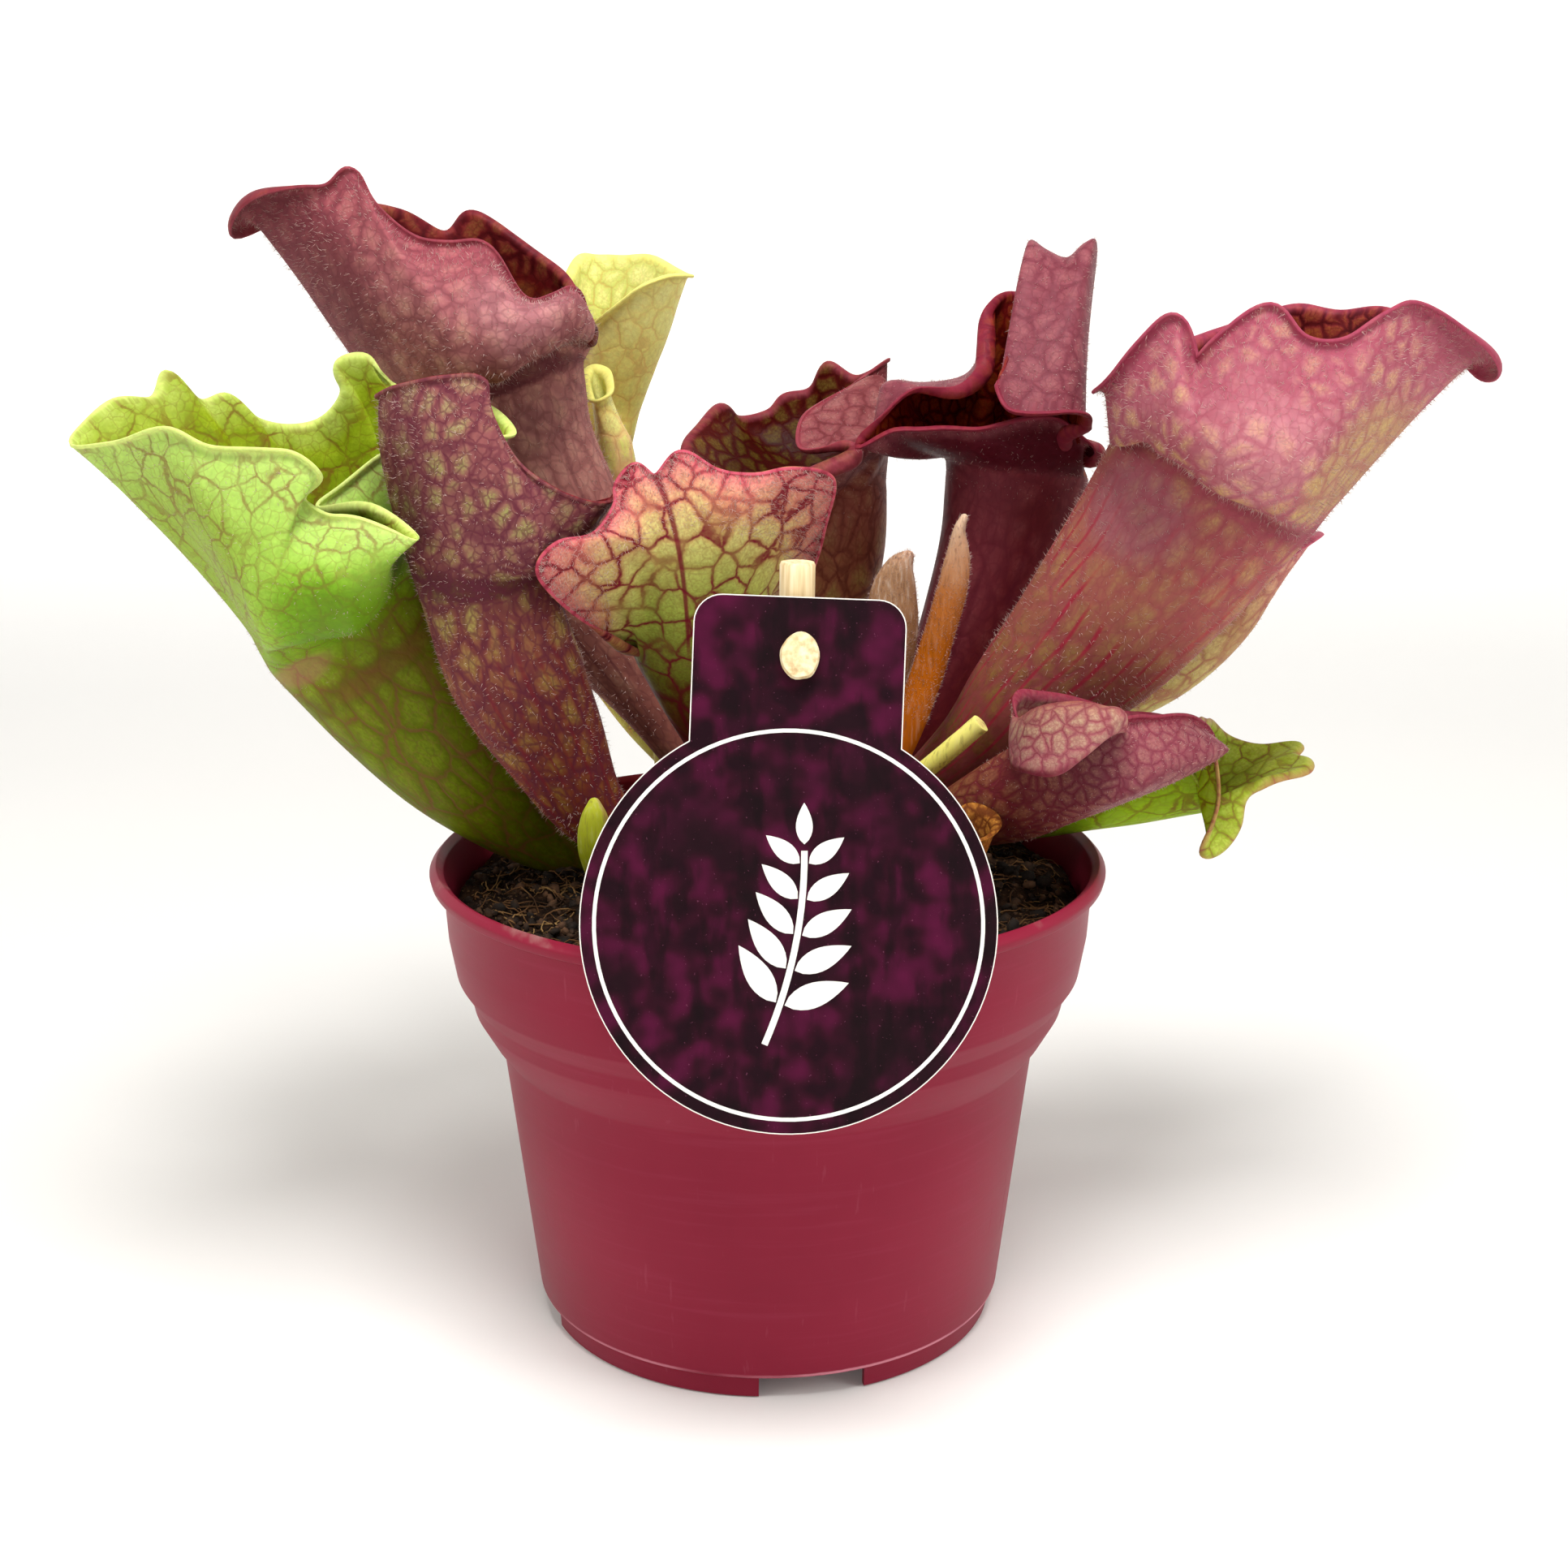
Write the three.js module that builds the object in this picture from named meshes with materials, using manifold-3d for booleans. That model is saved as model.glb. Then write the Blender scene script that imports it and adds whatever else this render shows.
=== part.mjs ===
import * as THREE from 'three';
import { mergeVertices } from 'three/addons/utils/BufferGeometryUtils.js';
import Module from 'manifold-3d';

// A pitcher plant in its nursery pot. Millimetres, Z up, the pot stands on z = 0.
// Everything is placed from the pot's axis. The group then moves, so that the origin of the
// part is on the standing surface under the middle of the leaves' spread.
const wasm = await Module();
wasm.setup();

// Pot
const POT_AXIS = [-4.5, -8.1];
const POT_SEGMENTS = 36;
const WALL = 1.2;
const DRAIN_RADIUS = 3.5;
const DRAIN_RING = 27;
const FOOT_HEIGHT = 4;
const FOOT_GAP_WIDTH = 18.6;
const FOOT_GAP_TURN = -79;

// Soil, pitchers and label
const SOIL_HEIGHT = 79.6;
const SOIL_CLEARANCE = 0.5;
const STEM_CLEARANCE = 0.95;
const SKIN = 0.9;
const LABEL_RADIUS = 32.2;
const LABEL_NECK = 16.4;
const LABEL_TOP = 50.5;
const LABEL_CORNER = 4.4;
const LABEL_THICKNESS = 0.6;
const LABEL_HOLE = [0.2, 41.3];
const LABEL_LEAN = 15.36;
const LABEL_TURN = -2.2;
const STICK_RADIUS = 2.8;

const object = new THREE.Group();
object.name = 'potted_pitcher_plant';
object.position.set(...POT_AXIS, 0);

function add(name, geometry, colour, roughness = 0.7) {
  const material = new THREE.MeshStandardMaterial({ color: colour, roughness, metalness: 0 });
  const mesh = new THREE.Mesh(geometry, material);
  mesh.name = name;
  object.add(mesh);
}

// Joins doubled corners and drops the triangles that have no area.
function weld(geometry) {
  const bare = geometry.clone();
  bare.deleteAttribute('uv');
  bare.deleteAttribute('normal');
  const joined = mergeVertices(bare, 1e-4);
  const index = joined.getIndex().array;
  const kept = [];
  for (let i = 0; i < index.length; i += 3) {
    const [a, b, c] = [index[i], index[i + 1], index[i + 2]];
    if (a !== b && b !== c && c !== a) {
      kept.push(a, b, c);
    }
  }
  joined.setIndex(kept);
  return joined;
}

function solid(geometry) {
  const bare = weld(geometry);
  return new wasm.Manifold(new wasm.Mesh({
    numProp: 3,
    vertProperties: new Float32Array(bare.getAttribute('position').array),
    triVerts: new Uint32Array(bare.getIndex().array),
  }));
}

function geometryOf(body) {
  const mesh = body.getMesh();
  const geometry = new THREE.BufferGeometry();
  geometry.setAttribute('position', new THREE.BufferAttribute(mesh.vertProperties.slice(), 3));
  geometry.setIndex(Array.from(mesh.triVerts));
  return geometry;
}

function upright(geometry) {
  return geometry.rotateX(Math.PI / 2);
}

// A closed ring or disc turned about the pot's axis, from points of radius and height.
function turned(profile, segments) {
  const points = profile.map(([r, z]) => new THREE.Vector2(r, z));
  return upright(new THREE.LatheGeometry([...points, points[0]], segments));
}

function blend(p0, p1, p2, p3, t) {
  const a = 2 * p1;
  const b = p2 - p0;
  const c = 2 * p0 - 5 * p1 + 4 * p2 - p3;
  const d = 3 * p1 - p0 - 3 * p2 + p3;
  return 0.5 * (a + b * t + c * t * t + d * t * t * t);
}

// Rows of a spine are x, y, z, half width and half depth.
function stationAt(spine, t) {
  const last = spine.length - 1;
  const i = Math.min(Math.floor(t), last - 1);
  const before = spine[i - 1] ?? spine[i].map((v, k) => 2 * v - spine[i + 1][k]);
  const after = spine[i + 2] ?? spine[i + 1].map((v, k) => 2 * v - spine[i][k]);
  return spine[i].map((v, k) => blend(before[k], v, spine[i + 1][k], after[k], t - i));
}

function pointOf(row) {
  return new THREE.Vector3(row[0], row[1], row[2]);
}

// One ring round the spine, turning from the camera side through the right.
function ringAt(spine, t, angles, grow = 0) {
  const last = spine.length - 1;
  const station = stationAt(spine, t);
  const ahead = pointOf(stationAt(spine, Math.min(t + 0.001, last)));
  const behind = pointOf(stationAt(spine, Math.max(t - 0.001, 0)));
  const along = ahead.sub(behind).normalize();
  const side = new THREE.Vector3().crossVectors(along, new THREE.Vector3(0, -1, 0)).normalize();
  const front = new THREE.Vector3().crossVectors(side, along);
  return angles.map((angle) => {
    const turn = THREE.MathUtils.degToRad(angle);
    return pointOf(station)
      .addScaledVector(side, Math.sin(turn) * (station[3] + grow))
      .addScaledVector(front, Math.cos(turn) * (station[4] + grow));
  });
}

// The head swells from the neck through a belly point to the margin at every angle.
function headRow(neck, bellies, margins, s) {
  return neck.map((start, i) => {
    const end = margins[i];
    const middle = bellies[i].clone().multiplyScalar(8).sub(start).sub(end).divideScalar(3);
    const slant = start.clone().sub(end).multiplyScalar(0.17);
    const first = middle.clone().multiplyScalar(0.5).add(slant);
    const second = middle.clone().multiplyScalar(0.5).sub(slant);
    return new THREE.CubicBezierCurve3(start, first, second, end).getPoint(s);
  });
}

function middleOf(row) {
  const centre = new THREE.Vector3();
  row.forEach((p) => centre.add(p));
  return centre.divideScalar(row.length);
}

// Outward directions of the points of one row of a grid of rings.
function outward(rows, r) {
  const above = rows[Math.min(r + 1, rows.length - 1)];
  const below = rows[Math.max(r - 1, 0)];
  const row = rows[r];
  return row.map((p, i) => {
    const next = row[(i + 1) % row.length];
    const previous = row[(i + row.length - 1) % row.length];
    const round = next.clone().sub(previous);
    const up = above[i].clone().sub(below[i]);
    return round.cross(up).normalize();
  });
}

// Rings from the foot up, closed below, and hollow from one of the rings to the margin.
function skinned(rows, hollowFrom, skin) {
  const count = rows[0].length;
  const positions = [];
  const index = [];
  const put = (row) => {
    const start = positions.length / 3;
    row.forEach((p) => positions.push(p.x, p.y, p.z));
    return start;
  };
  const quad = (a, b, c, d) => index.push(a, b, c, a, c, d);
  const outer = rows.map(put);
  const last = rows.length - 1;
  const foot = put([middleOf(rows[0])]);
  for (let i = 0; i < count; i += 1) {
    const j = (i + 1) % count;
    index.push(foot, outer[0] + j, outer[0] + i);
    for (let r = 0; r < last; r += 1) {
      quad(outer[r] + i, outer[r] + j, outer[r + 1] + j, outer[r + 1] + i);
    }
  }
  if (hollowFrom === null) {
    const tip = put([middleOf(rows[last])]);
    for (let i = 0; i < count; i += 1) {
      index.push(tip, outer[last] + i, outer[last] + (i + 1) % count);
    }
  } else {
    const inside = rows.slice(hollowFrom).map((row, k) => {
      const away = outward(rows, hollowFrom + k);
      return row.map((p, i) => p.clone().addScaledVector(away[i], -skin));
    });
    const inner = inside.map(put);
    const floor = put([middleOf(inside[0])]);
    for (let i = 0; i < count; i += 1) {
      const j = (i + 1) % count;
      index.push(floor, inner[0] + i, inner[0] + j);
      for (let r = 0; r < inner.length - 1; r += 1) {
        index.push(inner[r] + i, inner[r + 1] + j, inner[r] + j);
        index.push(inner[r] + i, inner[r + 1] + i, inner[r + 1] + j);
      }
      const top = inner[inner.length - 1];
      quad(outer[last] + i, outer[last] + j, top + j, top + i);
    }
  }
  const geometry = new THREE.BufferGeometry();
  geometry.setAttribute('position', new THREE.Float32BufferAttribute(positions, 3));
  geometry.setIndex(index);
  return geometry;
}

// A rim row is an angle and the margin's place from the neck, then either the belly point
// from the neck or one number that says how full the belly is.
function pitcher({ spine, rim, bowl, hollowFrom, headRows = [0.25, 0.5, 0.75, 1], skin = SKIN }) {
  const angles = rim.map((row) => row[0]);
  const last = spine.length - 1;
  const rows = spine.map((_, t) => ringAt(spine, t, angles));
  const neck = rows[last];
  const centre = pointOf(spine[last]);
  const below = pointOf(stationAt(spine, last - 0.001));
  const along = centre.clone().sub(below).normalize();
  const margins = rim.map((row) => new THREE.Vector3(row[1], row[2], row[3]).add(centre));
  const bellies = rim.map((row, i) => {
    if (row.length === 7) {
      return new THREE.Vector3(row[4], row[5], row[6]).add(centre);
    }
    const full = row[4] ?? bowl;
    const reach = margins[i].clone().sub(neck[i]);
    const rise = along.clone().multiplyScalar(reach.dot(along));
    const spread = reach.clone().sub(rise);
    const low = neck[i].clone()
      .addScaledVector(spread, 0.15 + 0.55 * full)
      .addScaledVector(rise, 0.35 - 0.25 * full);
    const high = neck[i].clone()
      .addScaledVector(spread, 0.75 + 0.3 * full)
      .addScaledVector(rise, 0.75 - 0.15 * full);
    return low.add(high).multiplyScalar(3).add(neck[i]).add(margins[i]).divideScalar(8);
  });
  headRows.forEach((s) => rows.push(headRow(neck, bellies, margins, s)));
  return skinned(rows, hollowFrom, skin);
}

function evenAngles(count) {
  return Array.from({ length: count }, (_, i) => (360 * i) / count);
}

function stem(spine, count = 8) {
  return skinned(spine.map((_, t) => ringAt(spine, t, evenAngles(count))), null, 0);
}

// The room that a stem takes in the soil, with the clearance round it.
function stemRoom(spine, until) {
  const rows = [];
  for (let t = 0; t <= until; t += 1) {
    rows.push(ringAt(spine, t, evenAngles(10), STEM_CLEARANCE));
  }
  rows[0].forEach((p) => p.setZ(p.z - STEM_CLEARANCE));
  return solid(skinned(rows, null, 0));
}

const plants = [
  {
    name: 'pitcher_rose_right', colour: 0xb56a78, bowl: 1, hollowFrom: 3, inSoil: 2,
    spine: [
      [17, 27, 73, 2.8, 2.8], [20, 26, 83, 3.4, 3.4], [27, 24, 89, 5, 5], [39, 18, 100, 8.5, 8],
      [48, 13, 111, 12, 10], [60, 9, 125, 15.5, 12], [69, 6, 138, 17.5, 13],
      [78, 4, 152, 19.5, 14],
    ],
    rim: [
      [270, -21, -8, 16, -19.5, -8, 7.5], [285, -20, -16, 19, -18, -17, 9],
      [298, -16, -20, 25, -15, -24, 12], [309, -12, -22, 29, -13, -28, 11],
      [321, -9, -24, 22, -11, -31, 10], [334, -5, -26, 26, -8, -33, 9],
      [347, 2, -27, 31, -4, -34, 8], [0, 7, -27, 26, 0, -34, 6], [15, 14, -26, 25, 5, -33, 5],
      [30, 21, -23, 29, 9, -31, 4], [45, 26, -20, 31, 14, -26, 4], [64, 35, -13, 27, 20, -18, 6],
      [84, 45, -4, 22, 27, -7, 6], [102, 46, 5, 20, 29, 3, 6], [122, 40, 12, 25, 0.5],
      [142, 32, 18, 28], [160, 25, 22, 27], [180, 18, 23, 28], [202, 12, 22, 26],
      [224, 2, 17, 23], [242, -8, 9, 20], [257, -16, 0, 17, -18, 0, 8],
    ],
  },
  {
    name: 'pitcher_purple_left', colour: 0x7d4658, bowl: 1, hollowFrom: 3, inSoil: 2,
    spine: [
      [-7, 38, 74, 2.6, 2.6], [-9, 38, 82, 3, 3], [-16, 38, 93, 4.2, 4.2], [-23, 38, 104, 6, 6],
      [-33, 38, 120, 10, 9.5], [-40, 38, 137, 13.5, 11.5], [-48, 38, 152, 16, 12.5],
      [-52, 38, 163, 18.5, 13],
    ],
    rim: [
      [270, -46.5, -2, 32, -30, -3, 15], [281, -40.5, -9, 37, -24, -12, 15],
      [293, -31.5, -14, 38, -19, -18, 15], [304, -25.5, -16, 38, -14, -22, 14],
      [314, -21, -17, 41, -9, -25, 14], [325, -17.5, -18, 35, -5, -28, 13],
      [338, -10.5, -19, 29, -2, -29, 13], [351, -3.5, -20, 28, 2, -29, 13],
      [5, 2.5, -20, 28, 5, -29, 13], [20, 7.5, -19, 20, 9, -28, 13], [33, 11, -18, 18, 13, -26, 13],
      [47, 14.5, -16, 19.5, 16, -22, 14], [62, 18, -14, 20, 18.5, -17, 13],
      [80, 20, -4, 10, 20, -5, 9], [100, 17.5, 8, 13], [120, 12.5, 16, 21], [140, 5.5, 20, 26],
      [160, -1.5, 22, 31], [178, -6.5, 23, 33], [195, -10.5, 22, 29], [212, -17.5, 20, 33],
      [230, -24.5, 15, 34, -24, 20, 15], [250, -34.5, 8, 34, -27, 9, 15],
    ],
  },
  {
    name: 'pitcher_green_left', colour: 0x9cbe3c, bowl: 0.9, hollowFrom: 3, inSoil: 3,
    spine: [
      [-24, 12, 73, 2.8, 2.8], [-28, 10, 78, 3.4, 3.4], [-35, 8, 83, 5.5, 5], [-45, 6, 91, 9, 8],
      [-55, 4, 103, 13.5, 11], [-64, 2, 116, 16, 12.5], [-73, 0, 129, 17.5, 13],
    ],
    rim: [
      [262, -42.5, -12, 32, -24, -8, 10], [275, -33, -20, 32, -19, -16, 10],
      [292, -22, -27, 35, -15, -26, 11], [306, -15, -30, 32, -12, -30, 10],
      [320, -4, -33, 32, -10, -32, 9], [329, 0, -34, 31, -8, -34, 9],
      [337, 2.5, -33, 28, -6, -35, 9], [344, -1, -31, 25, -2, -35, 10],
      [352, 2, -32, 22, 1, -36, 10], [12, 9, -34, 21, 7, -35, 11],
      [26, 18.5, -35, 19, 12, -31, 14], [38, 10, -29, 23, 11, -24, 15],
      [50, 0, -21, 21, 11, -16, 17], [64, 4, -14, 25, 12, -9, 18],
      [78, 9, -6, 29, 14, -4, 18], [94, 19, 3, 30, 18, 2, 20], [110, 28, 9, 30, 22, 7, 20],
      [124, 24, 14, 34], [142, 14, 17, 36], [160, 6, 17, 38], [174, 2, 16.5, 43],
      [186, -3, 16.5, 42], [198, -2, 16, 37], [212, -8, 17, 31], [226, -17, 14, 32],
      [233, -22, 12, 37], [240, -26, 9, 36], [247, -30.5, 6, 41.5], [252, -32, 3, 37],
      [257, -37, -4, 37.5],
    ],
  },
  {
    name: 'pitcher_mottled_front', colour: 0x6e4650, bowl: 0.5, hollowFrom: 3, inSoil: 2,
    spine: [
      [-19, 5, 72, 2.6, 2.6], [-21, 2, 78, 3.2, 3.2], [-25, -4, 88, 4.8, 4.8],
      [-32, -10, 98, 6.8, 6.5], [-37, -14, 110, 9.4, 8], [-42, -18, 122, 11.4, 9.2],
      [-45, -20, 133, 11.2, 9.2], [-46, -21, 138, 11.3, 9],
    ],
    rim: [
      [270, -17, 2, 30, -16, 1, 16], [290, -13, -3, 32, -11, -7, 17],
      [312, -5, -8, 34, -5, -12, 18], [335, 2, -10, 34, 2, -14, 15],
      [352, 3, -11, 29, 6, -14, 13], [8, 7, -11, 21, 9, -12, 10], [25, 14, -9, 16, 11, -8, 8],
      [45, 19, -4, 14, 0.3], [70, 21, 2, 14, 0.3], [90, 21, 7, 14, 0.3], [110, 20, 10, 12.5],
      [135, 12, 13, 11], [160, 6, 14, 15], [185, -1, 14, 21.5], [210, -6, 14, 28.5],
      [240, -13, 9, 31, -15, 8, 15],
    ],
  },
  {
    name: 'pitcher_netted_centre', colour: 0xb9a06c, bowl: 0.6, hollowFrom: 3, inSoil: 1,
    spine: [
      [-5, 30, 72, 2.8, 2.8], [-6, 26, 82, 3.4, 3.4], [-7, 16, 96, 5.2, 5],
      [-9, 6, 108, 7.3, 6.4], [-11, 0, 117, 9.3, 7.4], [-12, -4, 124, 11.3, 8.4],
    ],
    rim: [
      [258, -10, -5, 0, 0.3], [268, -16, -15, 6, 0.3], [278, -21, -24, 13, -12, -13, 7],
      [288, -24, -28, 18, -12, -18, 11], [298, -23, -28, 21, -10, -20, 14],
      [308, -20, -27, 23, -9, -21, 17], [318, -15, -25, 24, -7, -21, 18],
      [326, -12, -22, 28, -6, -21, 18], [334, -12, -20, 31, -5, -21, 19],
      [342, -9, -19, 34, -4, -21, 19], [350, -6, -19, 32, -2, -21, 19],
      [2, -2, -19, 36, 1, -21, 20], [18, 4, -19, 33, 4, -20, 20], [34, 10, -18, 32, 7, -19, 19],
      [50, 16, -16, 33, 9, -16, 18], [64, 21, -13, 32, 12, -12, 16],
      [78, 23, -10, 29, 13, -8, 13], [90, 21, -6, 21, 13, -4, 10], [104, 19, 0, 13, 11, 3, 6],
      [128, 13, 10, 1], [165, 4, 15, 0], [205, -3, 13, 0],
    ],
  },
  {
    name: 'pitcher_yellow_back', colour: 0xc4c468, bowl: 0.3, hollowFrom: 4, inSoil: 1,
    spine: [
      [-10, 47, 75, 2.4, 2.4], [-13, 48, 82, 2.8, 2.8], [-20, 52, 90, 3.2, 3.2],
      [-27, 57, 97, 3.8, 3.8], [-35, 62, 110, 5, 5], [-37, 65, 128, 6, 6],
      [-35, 66, 146, 6, 6], [-32, 67, 158, 6, 6],
    ],
    rim: [
      [270, -8, -1, 21], [300, -3, -7, 15], [325, -1, -10, 17], [350, 2, -12, 20],
      [15, 7, -13, 24], [40, 12, -11, 26], [68, 16, -5, 26], [98, 14, 5, 26],
      [125, 8, 13, 29], [155, 2, 16, 29], [185, -3, 17, 29], [215, -6, 15, 29],
      [245, -8, 7, 25],
    ],
  },
  {
    name: 'pitcher_yellow_small', colour: 0xdcd27c, bowl: 0.5, hollowFrom: 4, inSoil: 1,
    spine: [
      [-19, 42, 73, 2, 2], [-20, 43, 83, 2.2, 2.2], [-21, 46, 96, 2.4, 2.4],
      [-23, 50, 114, 2.6, 2.6], [-27, 51, 136, 3, 3], [-30, 51, 153, 3.4, 3.4],
    ],
    rim: [
      [270, -5, 0, 12], [320, -4, -3, 9], [0, -3, -4, 8], [40, -1, -3, 9], [90, -1, 0, 11],
      [140, -2, 3, 13], [180, -4, 4, 14], [230, -5, 3, 13],
    ],
  },
  {
    name: 'pitcher_red_back', colour: 0x64202c, bowl: 0.7, hollowFrom: 3, inSoil: 1,
    spine: [
      [0, 51, 72, 2.6, 2.6], [1, 50, 81, 3.2, 3.2], [3, 49, 91, 4.5, 4.5],
      [7, 47, 106, 7.2, 7], [10, 45, 121, 9.5, 9], [12, 43, 135, 10.5, 9.5],
      [12, 41, 146, 10.5, 9.5],
    ],
    rim: [
      [262, -27, -7, 7, 0.3], [285, -22, -13, 2], [305, -14, -17, 2], [322, -8, -19, 4],
      [338, -3, -19, 6], [352, 3, -17, 9], [4, 0, -15, 9, 8, -12, 9],
      [16, -5.5, -12, 8.5, 9.5, -9, 10], [30, -5.5, -5, 13, 10.5, -4, 13],
      [46, -1, 1, 16, 11, 0, 16], [62, 4, 5, 18.5, 11, 4, 18], [78, 10.8, 9, 22.7],
      [96, 7.5, 13, 20], [114, 4, 15, 18.7], [130, -1, 16, 21.5], [150, -4, 18, 16],
      [170, -9, 17, 15], [188, -12, 16, 12],
      [206, -18, 14, 11], [222, -21, 10, 14], [238, -25, 3, 11, 0.4], [250, -27, -2, 9, 0.3],
    ],
  },
  {
    name: 'pitcher_burgundy_tall', colour: 0x6a2a3e, bowl: 0.6, hollowFrom: 3, inSoil: 1,
    spine: [
      [21, 35, 73, 2.6, 2.6], [22, 35, 81, 3.2, 3.2], [26, 35, 91, 5, 5],
      [33, 36, 106, 8, 7.5], [40, 36, 122, 10.5, 9.5], [45, 36, 137, 12.5, 11],
      [47, 36, 150, 13.5, 12],
    ],
    rim: [
      [262, -30, -16, 7], [280, -25, -17, 9], [298, -20, -17, 9], [316, -14, -17, 9],
      [334, -9, -18, 9], [352, -5, -18, 10], [14, 1, -16, 11], [36, 6, -14, 10],
      [60, 12, -12, 6], [82, 16, -5, 5], [100, 14, -13, 9], [114, 10, -21, 12, 12, 1, 25],
      [128, 6, -24, 13, 13.5, 1, 40.5], [142, 3, -25, 13, 11, 0, 41],
      [155, -2, -25, 13, 8, 0, 38.5], [167, -5, -24, 14, 4, 0, 40],
      [178, -6, -21, 18, 1, 2, 41], [189, -3.5, -18.5, 23, 1, 5, 34],
      [198, 0, -14.5, 28.5, 5, 5, 34], [206, 5, -9, 33, 6, 7, 31], [215, 1, 0, 31.5],
      [224, -3.5, 0, 31.5], [231, -6, -4, 29, -6, 8, 26], [238, -6, -9, 24, -7, 9, 20],
      [244, -7, -12, 18, -11, 6, 15], [250, -13, -17, 15, -19, 0, 15],
      [256, -22, -16, 16, -26, -8, 15],
    ],
  },
  {
    name: 'pitcher_pink_low', colour: 0xa05a6a, bowl: 0.6, hollowFrom: 3, inSoil: 2,
    spine: [
      [20, 14, 77, 2.6, 2.6], [25, 8, 85, 3.2, 3.2], [30, 2, 90, 4.5, 4.5],
      [37, -3, 94, 6.5, 6], [43, -8, 98, 8, 7], [48, -12, 102, 8.5, 7.5],
    ],
    rim: [
      [262, -6, -2, 14], [276, -7, -11, 7, -5, -8, 13], [292, -6, -17, 7, -2, -12, 16],
      [308, -1, -20, 7, 4, -14, 17], [324, 4, -20, 10, 7, -14, 16],
      [340, 9, -17, 13, 9, -13, 14], [356, 13, -10, 13, 10, -12, 5],
      [16, 18, -5, 12, 15, -13, 3], [36, 24, 0, 11, 20, -9, 3], [56, 29, 4, 8, 26, -3, 3],
      [78, 32, 7, 4, 28, 4, 2], [105, 30, 12, 5], [135, 22, 12, 8], [170, 14, 11, 9],
      [205, 6, 8, 12], [235, -1, 4, 14],
    ],
  },
  {
    name: 'pitcher_green_low', colour: 0x8cb43c, bowl: 0.6, hollowFrom: 4, inSoil: 3,
    spine: [
      [24, 30, 73, 2.2, 2.2], [29, 27, 79, 2.6, 2.6], [36, 22, 83, 3.2, 3.2],
      [47, 13, 88, 4, 4], [58, 8, 92, 4.7, 4.7], [69, 8, 95, 6, 6], [77, 8, 98, 7.5, 7],
    ],
    rim: [
      [262, 1, 0, 9], [285, 2, -8, 6], [305, 3, -11, -2], [325, 1, -12, -11],
      [345, 4, -11, -11], [5, 7, -10, -7], [22, 8, -9, -2], [40, 12, -8, 1],
      [60, 19, -5, 2], [80, 21, -1, 3], [100, 19, 3, 3], [115, 21, 7, 4],
      [135, 15, 9, 3], [165, 9, 10, 4], [200, 5, 8, 7], [235, 3, 4, 8],
    ],
  },
  {
    name: 'pitcher_pink_back', colour: 0xb4846c, bowl: 0.2, hollowFrom: 3, inSoil: 1,
    spine: [
      [28, 36, 73, 2.4, 2.4], [31, 39, 83, 2.7, 2.7], [42, 44, 94, 3.2, 3.2],
      [60, 47, 101, 4.6, 4.6], [74, 48, 109, 6, 5.8], [85, 47, 119, 7, 6.5],
      [91, 46, 127, 7.5, 7],
    ],
    rim: [
      [270, -1, 0, 11], [310, 2, -6, 5], [350, 7, -8, 6], [30, 10, -6, 7],
      [70, 15, -1, 9], [110, 16, 8, 8], [150, 12, 12, 10], [190, 8, 13, 11],
      [230, 3, 9, 11],
    ],
  },
  {
    name: 'pitcher_dried', colour: 0xa0561c, bowl: 0.5, hollowFrom: 2, inSoil: 1,
    headRows: [0.5, 1], skin: 0.7,
    spine: [
      [32, -16, 73, 1.2, 1.2], [33, -17, 82, 1.3, 1.3], [34, -18, 88, 2, 2],
      [35, -18, 92, 2.6, 2.5],
    ],
    rim: [
      [0, 0, -3, 2], [45, 2, -3, 3], [90, 4, 0, 4], [135, 3, 3, 5], [180, 0, 3, 6],
      [225, -2, 2, 5], [270, -3, 0, 3], [315, -2, -3, 2],
    ],
  },
];

const stems = [
  {
    name: 'bud_short', colour: 0xb07a5c, inSoil: 1,
    spine: [
      [15, 19, 73, 1.6, 1.6], [17, 19, 86, 1.9, 1.8], [20, 18, 99, 2.5, 2.2],
      [22, 18, 112, 3.8, 2.8], [23, 18, 122, 4.6, 2.8], [23, 18, 129, 4.5, 2.4],
      [24, 18, 134, 3, 1.8], [26, 18, 137, 0.8, 0.8],
    ],
  },
  {
    name: 'bud_tall', colour: 0xc27a48, inSoil: 1,
    spine: [
      [12, 3, 73, 1.5, 1.5], [15, 4, 84, 1.8, 1.8], [20, 6, 95, 2.3, 2.2],
      [25, 8, 106, 2.9, 2.4], [29, 10, 117, 3, 2.4], [31, 10, 124, 2.9, 2.2],
      [33, 10, 131, 2.9, 2], [34, 10, 137, 2.4, 1.6], [34, 10, 142, 1.2, 1.2],
      [35, 10, 145, 0.6, 0.6],
    ],
  },
  {
    name: 'bud_green', colour: 0xb4c850, inSoil: 2,
    spine: [
      [-25, -14, 72, 1.5, 1.5], [-26, -17, 80, 2, 2], [-28, -20, 88, 3, 2.8],
      [-29, -22, 94, 3.2, 2.8], [-29, -23, 99, 2.3, 2], [-29, -23, 102, 0.8, 0.8],
    ],
  },
  {
    name: 'stalk_cut', colour: 0xb8c088, inSoil: 1,
    spine: [
      [13, 14, 73, 1.7, 1.6], [15, 13, 82, 1.7, 1.6], [21, 11, 91, 1.7, 1.6],
      [32, 4, 103, 1.8, 1.6], [38, 2, 109, 1.8, 1.6],
    ],
  },
];

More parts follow.
